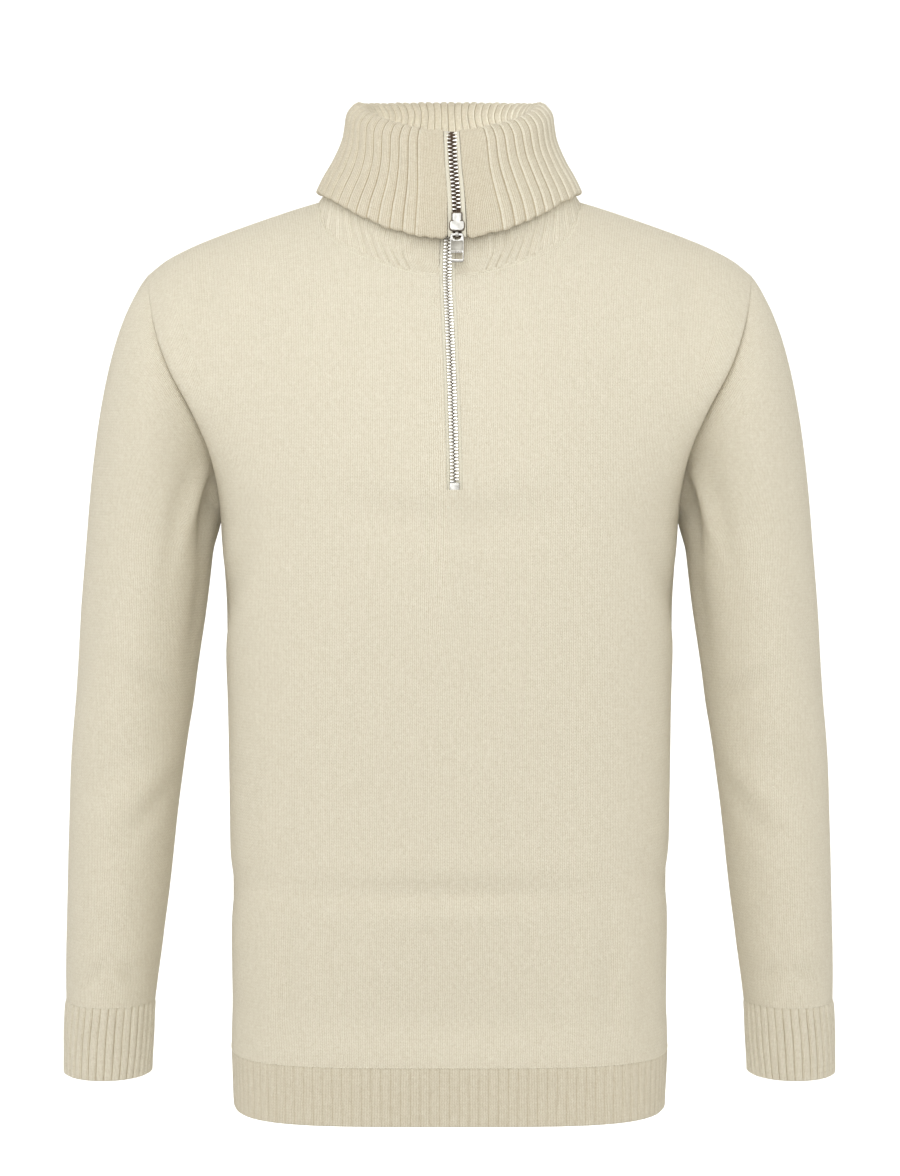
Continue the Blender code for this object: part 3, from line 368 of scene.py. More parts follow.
class Graph:
    """A node tree with short ways to add nodes to it."""

    def __init__(self, tree: Tree, material: Material | None = None) -> None:
        """Keeps the tree, and the material that it belongs to."""
        self.tree = tree
        self.material = material

    @classmethod
    def of_material(cls, name: str) -> Graph:
        """The graph of a new material."""
        material = bpy.data.materials.new(name)
        material.use_nodes = True
        return cls(material.node_tree, material)

    def fill(self, sockets: Sockets, values: dict[str | int, Value]) -> None:
        """Links some of a node's inputs to other sockets, or sets them to plain values."""
        for name, value in values.items():
            if isinstance(value, Socket):
                self.tree.links.new(value, sockets[name])
            else:
                sockets[name].default_value = value

    def add(
        self, kind: str, inputs: dict[str | int, Value] | None = None, **settings: object
    ) -> bpy.types.Node:
        """Adds a node.

        Args:
            kind: The node's type, without the prefix Shader.
            inputs: Values or sockets for its inputs, by name or number.
            settings: Its own settings.

        Returns:
            The new node.
        """
        node = self.tree.nodes.new("ShaderNode" + kind)
        for name, value in settings.items():
            setattr(node, name, value)
        self.fill(node.inputs, inputs or {})
        return node

    def math(self, operation: str, *values: Value) -> Socket:
        """The result of a Math node on these values or sockets."""
        return self.add("Math", dict(enumerate(values)), operation=operation).outputs[0]

    def scaled(self, value: Socket, by: float, plus: Value) -> Socket:
        """A value times one number, plus another or a socket."""
        return self.math("MULTIPLY_ADD", value, by, plus)

    def held(self, value: Socket) -> Socket:
        """A value kept between 0 and 1."""
        return self.add("Clamp", {0: value}).outputs[0]

    def noise(self, place: Socket, scale: float, detail: float = 2.0) -> Socket:
        """A noise texture's value at a place."""
        inputs = {"Vector": place, "Scale": scale, "Detail": detail}
        return self.add("TexNoise", inputs).outputs["Fac"]

    def blend(self, share: Socket, first: Value, second: Value) -> Socket:
        """Mixes two colours by a share."""
        return self.add("Mix", {0: share, 6: first, 7: second}, data_type="RGBA").outputs[2]

    def bump(self, strength: float, distance: float, height: Socket) -> Socket:
        """The normal of a surface with this height."""
        inputs = {"Strength": strength, "Distance": distance, "Height": height}
        return self.add("Bump", inputs).outputs[0]

    def stitches(self) -> Socket:
        """The place in the knit or the weave."""
        return self.add("UVMap", uv_map=STITCHES).outputs[0]

    def object_place(self) -> Socket:
        """The place on the object."""
        return self.add("TexCoord").outputs["Object"]

    def group(self, tree: Tree, inputs: dict[str, Value]) -> Sockets:
        """The outputs of a shared node group with these inputs."""
        return self.add("Group", inputs, node_tree=tree).outputs

    def dress(self, inputs: dict[str, Value]) -> Material:
        """Fills the shader's inputs, by name, and hands the material back."""
        self.fill(self.tree.nodes["Principled BSDF"].inputs, inputs)
        return self.material


def new_group(
    name: str, inputs: dict[str, str], outputs: dict[str, str]
) -> tuple[Graph, Sockets, Sockets]:
    """An empty shader node group.

    Args:
        name: The group's name.
        inputs: The kinds of its inputs, by name.
        outputs: The kinds of its outputs, by name.

    Returns:
        The group's graph, the sockets that its inputs give and those that its outputs take.
    """
    tree = bpy.data.node_groups.new(name, "ShaderNodeTree")
    for ways, sockets in (("INPUT", inputs), ("OUTPUT", outputs)):
        for socket, kind in sockets.items():
            tree.interface.new_socket(name=socket, in_out=ways, socket_type="NodeSocket" + kind)
    given, made = tree.nodes.new("NodeGroupInput"), tree.nodes.new("NodeGroupOutput")
    return Graph(tree), given.outputs, made.inputs


def knit_group() -> Tree:
    """The face of plain knit: columns of V-shaped stitches.

    Returns:
        A group from stitch coordinates to the yarn's height and a mask of its gaps.
    """
    inputs = {"Stitches": "Vector", "Unevenness": "Float"}
    graph, given, made = new_group("plain_knit", inputs, {"Height": "Float", "Gaps": "Float"})
    place = given["Stitches"]
    parts = graph.add("SeparateXYZ", {0: place}).outputs
    wander = graph.math("SUBTRACT", graph.noise(place, 0.35, 1.0), 0.5)
    wander = graph.math("MULTIPLY", wander, given["Unevenness"])
    # Each wale has two legs, a quarter to either side of its middle.
    wale = graph.math("FRACT", graph.math("ADD", parts[0], wander))
    column = graph.math("ABSOLUTE", graph.math("SUBTRACT", wale, 0.5))
    leg = graph.math("MULTIPLY", graph.math("ABSOLUTE", graph.math("SUBTRACT", column, 0.25)), 4.0)
    across = graph.math("SUBTRACT", 1.0, graph.math("MULTIPLY", leg, leg))
    # The legs lean, so a course lies higher beside a wale than in its middle.
    course = graph.math("ADD", parts[1], graph.math("MULTIPLY", column, 1.5))
    course = graph.math("ADD", course, graph.math("MULTIPLY", wander, 0.7))
    along = graph.math("SINE", graph.math("MULTIPLY", graph.math("FRACT", course), math.pi))
    height = graph.math("MULTIPLY", across, graph.scaled(along, 0.5, 0.5))
    groove = graph.held(graph.scaled(column, 8.0, -3.0))
    gaps = graph.math("POWER", graph.math("SUBTRACT", 1.0, height), 2.0)
    graph.fill(made, {"Height": height, "Gaps": graph.math("MAXIMUM", gaps, groove)})
    return graph.tree


def wool_group() -> Tree:
    """Loose fibres and the uneven colour of undyed wool.

    Returns:
        A group from a place to the fibres' height and a tint from 0 to 1.
    """
    outputs = {"Fibres": "Float", "Tint": "Float"}
    graph, given, made = new_group("wool_fibre", {"Place": "Vector"}, outputs)
    fine = graph.noise(given["Place"], 1500.0, 3.0)
    clumps = graph.noise(given["Place"], 420.0, 2.0)
    fuzz = graph.math("MULTIPLY_ADD", fine, 0.6, graph.math("MULTIPLY", clumps, 0.4))
    graph.fill(made, {"Fibres": fuzz, "Tint": fuzz})
    return graph.tree


def brushing_group() -> Tree:
    """Fine brushing and handling marks on plated metal.

    Returns:
        A group from a place to a height and a mask of dull patches.
    """
    outputs = {"Height": "Float", "Dull": "Float"}
    graph, given, made = new_group("brushed_plating", {"Place": "Vector"}, outputs)
    stretched = graph.add("Mapping", {"Vector": given["Place"], "Scale": (1.0, 1.0, 9.0)})
    brushed = graph.noise(stretched.outputs[0], 700.0, 3.0)
    graph.fill(made, {"Height": brushed, "Dull": graph.noise(given["Place"], 260.0, 2.0)})
    return graph.tree


@dataclass(frozen=True)
class Knit:
    """Wool knit: its colours, how many stitches a UV unit holds and how deep they are."""

    name: str
    light: Colour = (0.77, 0.734, 0.621)
    dark: Colour = (0.46, 0.385, 0.265)
    stitch_scale: tuple[float, float] = (1.0, 1.0)
    unevenness: float = 0.35
    depth: float = 0.4
    # How strongly the gaps between stitches are darkened: painted shade.
    painted_gap_shade: float = 0.6
    # The valleys between ribs get a line of painted shade, and a line of painted highlight beside
    # it.
    painted_valley_shade: float = 0.0
    painted_valley_sharpness: float = 5.0
    lit_share: float = 0.0
    lit_at: float = 0.14
    # Painted shade over the knit's shown face, which darkens the fall.
    shown_shade: float = 0.0
    facing: bool = False

    def ribbed(
        self, graph: Graph, uv: Socket, shade: Socket, gaps: Socket
    ) -> tuple[Socket, Socket]:
        """Paints the valleys between ribs: a line of painted shade, and a line of painted highlight
        on the shoulder beside it.

        Args:
            graph: The material's graph.
            uv: The place in the knit, one rib to a unit.
            shade: The wool's shade before.
            gaps: The mask of the gaps between stitches.

        Returns:
            The shade with the painted valley shade and highlight in it, and the mask.
        """
        across, along, _ = graph.add("SeparateXYZ", {0: uv}).outputs
        shown = graph.math("GREATER_THAN", along, 0.0)
        lines = []
        for start in (0.0, self.lit_at):
            turn = graph.scaled(across, FULL_TURN, -FULL_TURN * start)
            line = graph.math("MAXIMUM", graph.math("COSINE", turn), 0.0)
            lines.append(graph.math("POWER", line, self.painted_valley_sharpness))
        valley = graph.scaled(lines[1], -self.lit_share, lines[0])
        valley = graph.math("MULTIPLY", valley, graph.scaled(shown, 0.8, 0.2))
        # The shown face is darkened: painted shade.
        shade = graph.scaled(shown, self.shown_shade, shade)
        if self.facing:
            # Beside the zip there are no valleys, and the painted shade in the gaps between the
            # plain stitches is stronger.
            inside = graph.math("PINGPONG", across, COLLAR_RIBS / 2)
            inside = graph.held(graph.math("SUBTRACT", inside, FACING_RIBS - 0.5))
            valley = graph.math("MULTIPLY", valley, inside)
            gaps = graph.math("MULTIPLY", gaps, graph.scaled(inside, -0.35, 1.35))
        return graph.scaled(valley, self.painted_valley_shade, shade), gaps

    def build(self, groups: Groups) -> Material:
        """Makes the material from the shared node groups."""
        graph = Graph.of_material(self.name)
        uv = graph.stitches()
        scale = (*self.stitch_scale, 1.0)
        stitched = graph.add("VectorMath", {0: uv, 1: scale}, operation="MULTIPLY").outputs[0]
        knit = graph.group(groups["knit"], {"Stitches": stitched, "Unevenness": self.unevenness})
        wool = graph.group(groups["wool"], {"Place": graph.object_place()})
        # The gaps between stitches are darkened: painted shade.
        gaps = graph.math("MULTIPLY", knit["Gaps"], self.painted_gap_shade)
        shade = graph.scaled(wool["Tint"], -1.1, 0.7)
        if self.painted_valley_shade:
            shade, gaps = self.ribbed(graph, uv, shade, gaps)
        shade = graph.held(graph.math("ADD", shade, gaps))
        height = graph.scaled(wool["Fibres"], 0.9, knit["Height"])
        return graph.dress(
            {
                "Base Color": graph.blend(shade, (*self.light, 1), (*self.dark, 1)),
                "Normal": graph.bump(self.depth, 1.2 * MM, height),
                "Roughness": graph.scaled(wool["Fibres"], 0.1, 0.86),
                "Specular IOR Level": 0.15,
                "Sheen Weight": 0.22,
                "Sheen Roughness": 0.55,
                "Sheen Tint": (1.0, 0.96, 0.86, 1),
            }
        )


@dataclass(frozen=True)
class Tape:
    """Woven zip tape: a fine herringbone twill, with painted shade under the teeth."""

    name: str = "zip_tape_twill"
    light: Colour = (0.71, 0.68, 0.57)
    dark: Colour = (0.60, 0.56, 0.45)
    # Painted shade under the teeth.
    painted_shade_colour: Colour = (0.075, 0.045, 0.024)

    def build(self, groups: Groups) -> Material:
        """Makes the material from the shared node groups."""
        graph = Graph.of_material(self.name)
        across, along, _ = graph.add("SeparateXYZ", {0: graph.stitches()}).outputs
        lean = graph.math("PINGPONG", across, 3.0)
        rib = graph.math("SINE", graph.math("MULTIPLY", graph.math("ADD", along, lean), FULL_TURN))
        rib = graph.scaled(rib, 0.5, 0.5)
        wool = graph.group(groups["wool"], {"Place": graph.object_place()})
        shade = graph.scaled(rib, 0.35, graph.math("MULTIPLY", wool["Tint"], 0.4))
        colour = graph.blend(shade, (*self.light, 1), (*self.dark, 1))
        # The tape is painted dark under the teeth: painted shade.
        painted_shade_under_teeth = graph.held(graph.scaled(across, -2.0, 11.4))
        return graph.dress(
            {
                "Base Color": graph.blend(painted_shade_under_teeth, colour, (*self.painted_shade_colour, 1)),
                "Normal": graph.bump(0.3, 0.4 * MM, rib),
                "Roughness": 0.75,
            }
        )


@dataclass(frozen=True)
class Plating:
    """Plated metal with dull patches where it is handled."""

    name: str
    light: Colour
    dark: Colour
    roughness: float
    brushing: float = 0.03

    def build(self, groups: Groups) -> Material:
        """Makes the material from the shared node groups."""
        graph = Graph.of_material(self.name)
        marks = graph.group(groups["brushing"], {"Place": graph.object_place()})
        dull = graph.held(graph.scaled(marks["Dull"], 2.0, -0.7))
        return graph.dress(
            {
                "Base Color": graph.blend(dull, (*self.light, 1), (*self.dark, 1)),
                "Roughness": graph.scaled(dull, 0.14, self.roughness),
                "Normal": graph.bump(self.brushing, 0.3 * MM, marks["Height"]),
                "Metallic": 1.0,
            }
        )


# ---- the body's form ----

WALE = 2.65 * MM  # the width of a stitch in the plain knit
COURSE = 2.1 * MM  # and its height
SEAM_GAP = 0.05 * MM
COLLAR_RIBS = 58
FACING_RIBS = 2.6  # how many ribs' width beside the zip is knitted plain
BAND = 28 * MM  # the width beside the armhole in which the knit follows it
ARMHOLE_ROWS = 57
HALVINGS = 40  # enough to find a place to the last digit
FOLD_STRENGTH = 1.4  # how much deeper every fold is than its row says
TURN_PARTS = 1000  # a fold on a sleeve is placed in thousandths of a turn round it


@dataclass
class Fold:
    """A soft crease or ridge, placed on the surface in millimetres.

    The lean is in degrees from upright, outwards as it rises, and a depth below 0 is a trough.
    """

    out: float
    height: float
    lean: float
    length: float
    width: float
    depth: float

    def push(self, across: Grid, height: Grid) -> Grid:
        """How far out it moves the cloth at these places, in metres."""
        lean = math.radians(self.lean)
        sideways = across / MM - self.out
        upward = height / MM - self.height
        along = sideways * math.sin(lean) + upward * math.cos(lean)
        beside = sideways * math.cos(lean) - upward * math.sin(lean)
        return FOLD_STRENGTH * self.depth * MM * bell(beside, self.width) * bell(along, self.length)


def folds(*rows: tuple[float, ...]) -> tuple[Fold, ...]:
    """Folds from rows of their places, leans, lengths, widths and depths."""
    return tuple(Fold(*row) for row in rows)


@dataclass
class BodyForm:
    """The filled-out body: level sections up to the underarm, then a sweep to the shoulders.

    The tables are in millimetres. Their columns, after the place, are named where they are read.
    """

    hem_seam: float = -633.5 * MM
    hem_bottom: float = -677.5 * MM
    underarm: float = -239 * MM
    shoulder_out: float = 228 * MM
    ridge_y: float = 4 * MM
    neck_half: float = 98 * MM
    collar_middle: float = -10 * MM
    slit_across: float = 0.03
    neck_lines: int = 36
    side_lines: int = 32
    lower_rows: int = 61
    sections: Table = (
        (-677.5, 163.0, 120, 113, 4.0), (-633.5, 164.7, 121, 113, 3.9),
        (-530, 165.0, 120, 111, 3.5), (-452, 166.0, 121, 110, 3.2),
        (-376, 167.6, 124, 111, 3.0), (-300, 169.5, 127, 114, 2.8),
        (-239, 172.5, 128, 117, 2.6),
    )
    ridge: Table = (
        (0, 15.0), (60, 8.5), (98, 0.6), (116.8, -5.0), (139.6, -12.6),
        (161.4, -20.2), (182.2, -27.9), (199.8, -35.5), (215.2, -43.8), (228, -54.0),
    )
    armhole: Table = (
        (0.00, 172.5, 0, 0, -239), (0.12, 173.5, 19, 17, -214), (0.25, 178.5, 41, 36, -187),
        (0.40, 191.0, 58, 51, -156), (0.55, 206.0, 62, 55, -127), (0.75, 219.5, 47, 42, -90),
        (0.90, 226.0, 20, 18, -61), (1.00, 228.0, -4, 4, -54),
    )
    front_neck: Table = (
        (0, -57.0), (20, -55.5), (40, -50.0), (60, -42.0), (75, -34.5),
        (86.5, -26.0), (91.5, -19.5), (95.0, -12.5), (97.1, -5.5), (98, 0.5),
    )
    back_neck: Table = ((0, -0.5), (50, -0.2), (90, 0.2), (98, 0.5))
    zip_line: Table = (
        (-345, 0.0), (-245, 3.8), (-205, 3.6), (-150, 2.2),
        (-100, 0.3), (-57, -1.5), (-40, -1.5),
    )

    def __post_init__(self) -> None:
        """Reads the tables."""
        self.level_table = SmoothTable(self.sections, "half front back power")
        self.ridge_table = SmoothTable(self.ridge, "height")
        self.armhole_table = SmoothTable(self.armhole, "out ahead behind height")
        self.neck_tables = {
            Face.FRONT: SmoothTable(self.front_neck, "height"),
            Face.BACK: SmoothTable(self.back_neck, "height"),
        }
        self.zip_table = SmoothTable(self.zip_line, "drift")
        self.rises = np.linspace(0, 1, ARMHOLE_ROWS)
        self.neck_across = self.find(
            lambda across: self.ridge_point(across)[..., 0] < self.neck_half, 0.2, 0.9
        )
        self.places = self.spread_lines()

    @staticmethod
    def find(short: Callable[[Grid], Grid], low: float | Grid, high: float | Grid) -> Grid:
        """Halves an interval until short(value) changes there.

        Args:
            short: Tells for each value whether it is still too low.
            low: The lower ends.
            high: The upper ends.

        Returns:
            The values where short changes.
        """
        low, high = np.asarray(low, float), np.asarray(high, float)
        for _ in range(HALVINGS):
            middle = (low + high) / 2
            under = short(middle)
            low, high = np.where(under, middle, low), np.where(under, high, middle)
        return (low + high) / 2

    def level_point(self, across: Grid, z: Grid, face: Face) -> Grid:
        """Points of the level section at z, across 0 in the middle and 1 at the side seam."""
        across, z = np.broadcast_arrays(np.asarray(across, float), np.asarray(z, float))
        read = self.level_table.read
        half = read("half", z / MM) * MM
        depth = read(face.name.lower(), z / MM) * MM
        power = read("power", z / MM)
        sine, cosine = np.sin(across * math.pi / 2), np.cos(across * math.pi / 2)
        reach = ((sine / half) ** power + (np.abs(cosine) / depth) ** power) ** (-1 / power)
        return np.stack([reach * sine, face.value * reach * cosine, z], axis=-1)

    def ridge_point(self, across: Grid) -> Grid:
        """Where the line of the knit at across meets the top of the shoulders."""
        start = self.level_point(across, self.underarm, Face.FRONT)[..., 0]
        side = self.level_table.read("half", self.underarm / MM) * MM
        out = start + (self.shoulder_out - side) * (start / side) ** 2.2
        height = self.ridge_table.read("height", out / MM) * MM
        return np.stack([out, np.full_like(out, self.ridge_y), height], axis=-1)

    def armhole_point(self, rise: Grid, face: Face) -> Grid:
        """Points of the armhole seam, from the underarm at rise 0 to the shoulder at 1."""
        read = self.armhole_table.read
        forth = read("ahead" if face is Face.FRONT else "behind", rise) * face.value
        return np.stack([read("out", rise), forth, read("height", rise)], axis=-1) * MM

    def plain_rise(self, across: Grid, rise: Grid, face: Face) -> Grid:
        """The upper body before the armhole pulls at it."""
        step = 10 * MM
        start = self.level_point(across, self.underarm, face)
        lean = (start - self.level_point(across, self.underarm - step, face)) / step
        end = self.ridge_point(across)
        climb = (end - start)[..., 2:] * (1.12 if face is Face.FRONT else 1.3)
        over = (0.25 if face is Face.FRONT else 0.31) - 0.11 * across[..., None] ** 2
        level = np.concatenate([0 * over, -face.value * over, 0 * over], axis=-1)
        return hermite(start, lean * climb, end, level, rise[..., None])

    def upper_point(self, across: Grid, rise: Grid, face: Face) -> Grid:
        """Points of the upper body, rise 0 at the underarm and 1 on the shoulder seam."""
        across, rise = np.broadcast_arrays(np.asarray(across, float), np.asarray(rise, float))
        pull = self.armhole_point(rise, face) - self.plain_rise(np.ones_like(across), rise, face)
        share = ease((across - 0.4) / 0.6) ** 2
        return self.plain_rise(across, rise, face) + share[..., None] * pull

    def spread_lines(self) -> Grid:
        """Places of the knit lines: evenly along the front's neck edge, then out to the side."""
        turns = np.linspace(0, math.pi / 2, 200)
        fine = self.slit_across + (self.neck_across - self.slit_across) * np.sin(turns)
        edge = self.upper_point(fine, self.neck_tops(fine, Face.FRONT), Face.FRONT)
        length = walked(edge * np.array([1, 0.5, 0.5]), 0)
        to_neck = np.interp(np.linspace(0, length[-1], self.neck_lines), length, fine)
        return np.concatenate([to_neck, np.linspace(self.neck_across, 1, self.side_lines + 1)[1:]])

    def neck_tops(self, across: Grid, face: Face) -> Grid:
        """How far up their lines the neck edge lies at these places across."""
        table = self.neck_tables[face]

        def below_neck(rise: Grid) -> Grid:
            point = self.upper_point(across, rise, face)
            return point[..., 2] < table.read("height", point[..., 0] / MM) * MM

        first = np.full(len(across), 0.2)
        return self.find(below_neck, first, first + 0.8)

    def upper_rises(self, face: Face) -> Grid:
        """How far up its line each point of the upper body lies, by row and line."""
        tops = np.ones(len(self.places))
        tops[: self.neck_lines - 1] = self.neck_tops(self.places[: self.neck_lines - 1], face)
        rows = self.rises[:, None]
        # The rows bend to the neck edge mostly near it.
        return rows * (1 - (1 - tops[None]) * (0.4 * rows + 0.6 * rows**3) / np.maximum(rows, 1e-9))

    def half(self, face: Face) -> Grid:
        """Half a panel's outer points, up from the hem and out from the slit."""
        low = np.linspace(self.hem_seam + SEAM_GAP, self.underarm, self.lower_rows + 1)[:-1]
        lower = self.level_point(self.places[None], low[:, None], face)
        upper = self.upper_point(self.places[None], self.upper_rises(face), face)
        upper[:, -1] = self.armhole_point(self.rises, face)
        return np.concatenate([lower, upper])

    def wales(self, face: Face) -> tuple[Grid, Grid]:
        """How far each point of half a panel lies from the middle and from the armhole.

        Args:
            face: The panel.

        Returns:
            Both distances along the cloth, level with the point.
        """
        lower = self.half(face)[: self.lower_rows]
        level = self.upper_point(self.places[None], self.rises[:, None], face)
        walk = walked(level, 1) + level[:, :1, 0]
        rises = self.upper_rises(face).T
        inside, whole = (
            np.stack([np.interp(at, self.rises, far) for at, far in zip(rises, ends)], axis=1)
            for ends in (walk.T, [walk[:, -1]] * len(rises))
        )
        below = walked(lower, 1) + lower[:, :1, 0]
        far = np.full_like(below, 1.0)
        return np.concatenate([below, inside]), np.concatenate([far, whole - inside])

    def mitres(self, face: Face) -> Grid:
        """Directions out of the cloth along the armhole, between panel and sleeve."""
        rise = self.rises
        points = self.armhole_point(rise, face)
        out = np.stack([0.75 + 0.25 * rise, face.value * np.sin(np.pi * rise) * 0.9, rise**2], -1)
        along = unit(np.gradient(points, rise, axis=0))
        out = across_from(out, along)
        out[0] = (1, 0, -0.15)
        out[-1] = (0.62, 0, 0.78)
        return unit(out)

    def neck_ways(self, edge: Grid, normals: Grid) -> Grid:
        """Directions that split the shoulder from the collar along a neck edge."""
        return unit(normals + self.stand_ways(edge))

    def stand_ways(self, edge: Grid) -> Grid:
        """Directions out of the collar where it stands up from a neck edge."""
        radial = unit((edge - np.array([0, self.collar_middle, 0])) * LEVEL)
        return unit(radial + np.array([0, 0, 0.3]))


# ---- body panels ----


@dataclass
class Panel:
    """The front or the back, knitted from the hem up, with its armholes fully fashioned."""

    form: BodyForm
    face: Face
    folds: tuple[Fold, ...]
    thickness: float = 2.4 * MM
    slit_half: float = 5.6 * MM
    slit_bottom: float = -216.5 * MM
    groove: float = 0.2 * MM
    ripple: float = 0.45 * MM
    fixed_rows: int = 6
    fixed_lines: int = 4
    slit_lines: int = 8  # how many lines on each side of the slit make room for it

    def sides(self) -> tuple[Grid, Grid]:
        """Half the panel, smooth and without folds.

        Returns:
            Its outer points and its normals with those on the seams set to the shared ones.
        """
        grid = self.form.half(self.face)
        normals = grid_normals(grid)
        normals *= np.sign(normals[3, 3, 1] * self.face.value)
        neck, lower = self.form.neck_lines, self.form.lower_rows
        shared = normals.copy()
        shared[:lower, -1] = (1, 0, 0)
        slope = np.gradient(grid[-1, neck - 1 :], axis=0)
        shared[-1, neck - 1 :] = unit(np.stack([-slope[:, 2], 0 * slope[:, 2], slope[:, 0]], -1))
        shared[lower:, -1] = self.form.mitres(self.face)
        return grid, shared

    def stitches(self, whole: Grid) -> tuple[Grid, tuple[Grid, Grid]]:
        """Where each point lies in the knit, in stitches.

        Args:
            whole: The whole panel's outer points.

        Returns:
            The stitches, and the cells beside the armholes with the stitches used there.
        """
        out, edge = self.form.wales(self.face)
        up = walked(whole, 0) / COURSE + 1
        plain, beside = (
            np.stack([np.concatenate([-far[:, ::-1], far], axis=1) / WALE, up], axis=-1)
            for far in (out, edge)
        )
        cells = (edge[:-1, :-1] + edge[1:, 1:]) / 2 < BAND
        middle = np.zeros((len(cells), 1), bool)
        return plain, (np.concatenate([cells[:, ::-1], middle, cells], axis=1), beside)

    def wall(self) -> Wall:
        """Works out the panel.

        Returns:
            Its wall.
        """
        grid, shared = self.sides()
        neck = self.form.neck_lines
        if self.face is Face.BACK:
            grid[:, -1, 1] += SEAM_GAP
            grid[-1, neck - 1 : -1, 1] += SEAM_GAP
        whole, normals = (
            np.concatenate([half[:, ::-1] * MIRROR, half], axis=1) for half in (grid, shared)
        )
        rows, lines = grid.shape[:2]
        # Seams are drawn in a little, and the folds leave the edges where they are.
        depth = np.zeros(whole.shape[:2])
        depth[:, [0, -1]] = self.groove
        depth[-1, : lines - neck] = depth[-1, lines + neck :] = self.groove
        free = np.outer(from_edges(rows, self.fixed_rows), from_edges(2 * lines, self.fixed_lines))
        push = sum(fold.push(whole[..., 0], whole[..., 2]) for fold in self.folds) * free
        # A faint unevenness of the cloth, in waves of about 10 by 27 cm.
        ripple = np.sin(whole[..., 0] * 61 + 1.3) * np.sin(whole[..., 2] * 23 + whole[..., 0] * 17)
        push += self.ripple * ripple * free
        outer = whole + normals * (push - depth)[..., None]
        ways = self.form.neck_ways(grid[-1, :neck], shared[-1, :neck])
        lean = np.clip((ways * shared[-1, :neck]).sum(-1, keepdims=True), 0.6, 1)
        inward = normals.copy()
        inward[-1, lines : lines + neck] = ways / lean
        inward[-1, lines - neck : lines] = (ways / lean)[::-1] * MIRROR
        inner = whole + normals * push[..., None] - inward * self.thickness
        stitches, banded = self.stitches(whole)
        left_open = None
        if self.face is Face.FRONT:
            drift = self.form.zip_table.read("drift", whole[:, lines, 2] / MM) * MM
            for side in (outer, inner):
                for first, way in ((lines, 1), (lines - 1, -1)):
                    moved = drift + way * self.slit_half - side[:, first, 0]
                    for n in range(self.slit_lines):
                        side[:, first + way * n, 0] += moved * (1 - n / self.slit_lines) ** 2
            left_open = np.zeros((rows - 1, 2 * lines - 1), bool)
            open_rows = np.flatnonzero(whole[:, lines, 2] > self.slit_bottom)
            left_open[open_rows[0] :, lines - 1] = True
        name = f"{self.face.name.lower()}_knit"
        return Wall(name, outer, inner, stitches, banded=banded, left_open=left_open)


# ---- sleeves and cuffs ----

SLEEVE_TABLE: Table = (
    (-268, 276.0, 180.0, 62, 2), (-300, 279.0, 184.0, 60, 3),
    (-345, 281.7, 190.5, 57, 6), (-391, 284.7, 196.3, 54, 10),
    (-452, 287.5, 205.0, 50, 15), (-513, 289.3, 212.0, 46, 20),
    (-574, 290.2, 219.5, 42, 24), (-601, 290.0, 223.0, 40, 26),
)
CUFF_TABLE: Table = (
    (-601, 290.4, 223.2, 40, 26),
    (-628, 291.5, 224.5, 38.5, 27),
    (-656, 291.8, 226.0, 37.5, 28),
)


def ring_point(table: SmoothTable, turn: Grid, z: Grid) -> Grid:
    """Points of a sleeve's level section.

    Args:
        table: The sleeve's or cuff's table.
        turn: The turn round it, 0 on the shoulder's side and 0.25 in front.
        z: The height.

    Returns:
        The points, for the arm at +X.
    """
    turn, z = np.broadcast_arrays(np.asarray(turn, float), np.asarray(z, float))
    outer, inner, depth, ahead = (
        table.read(name, z / MM) * MM for name in ("outer", "inner", "half_depth", "ahead")
    )
    angle = turn * FULL_TURN
    x = (outer + inner) / 2 + (outer - inner) / 2 * np.cos(angle)
    return np.stack([x, -ahead - depth * np.sin(angle), z], axis=-1)


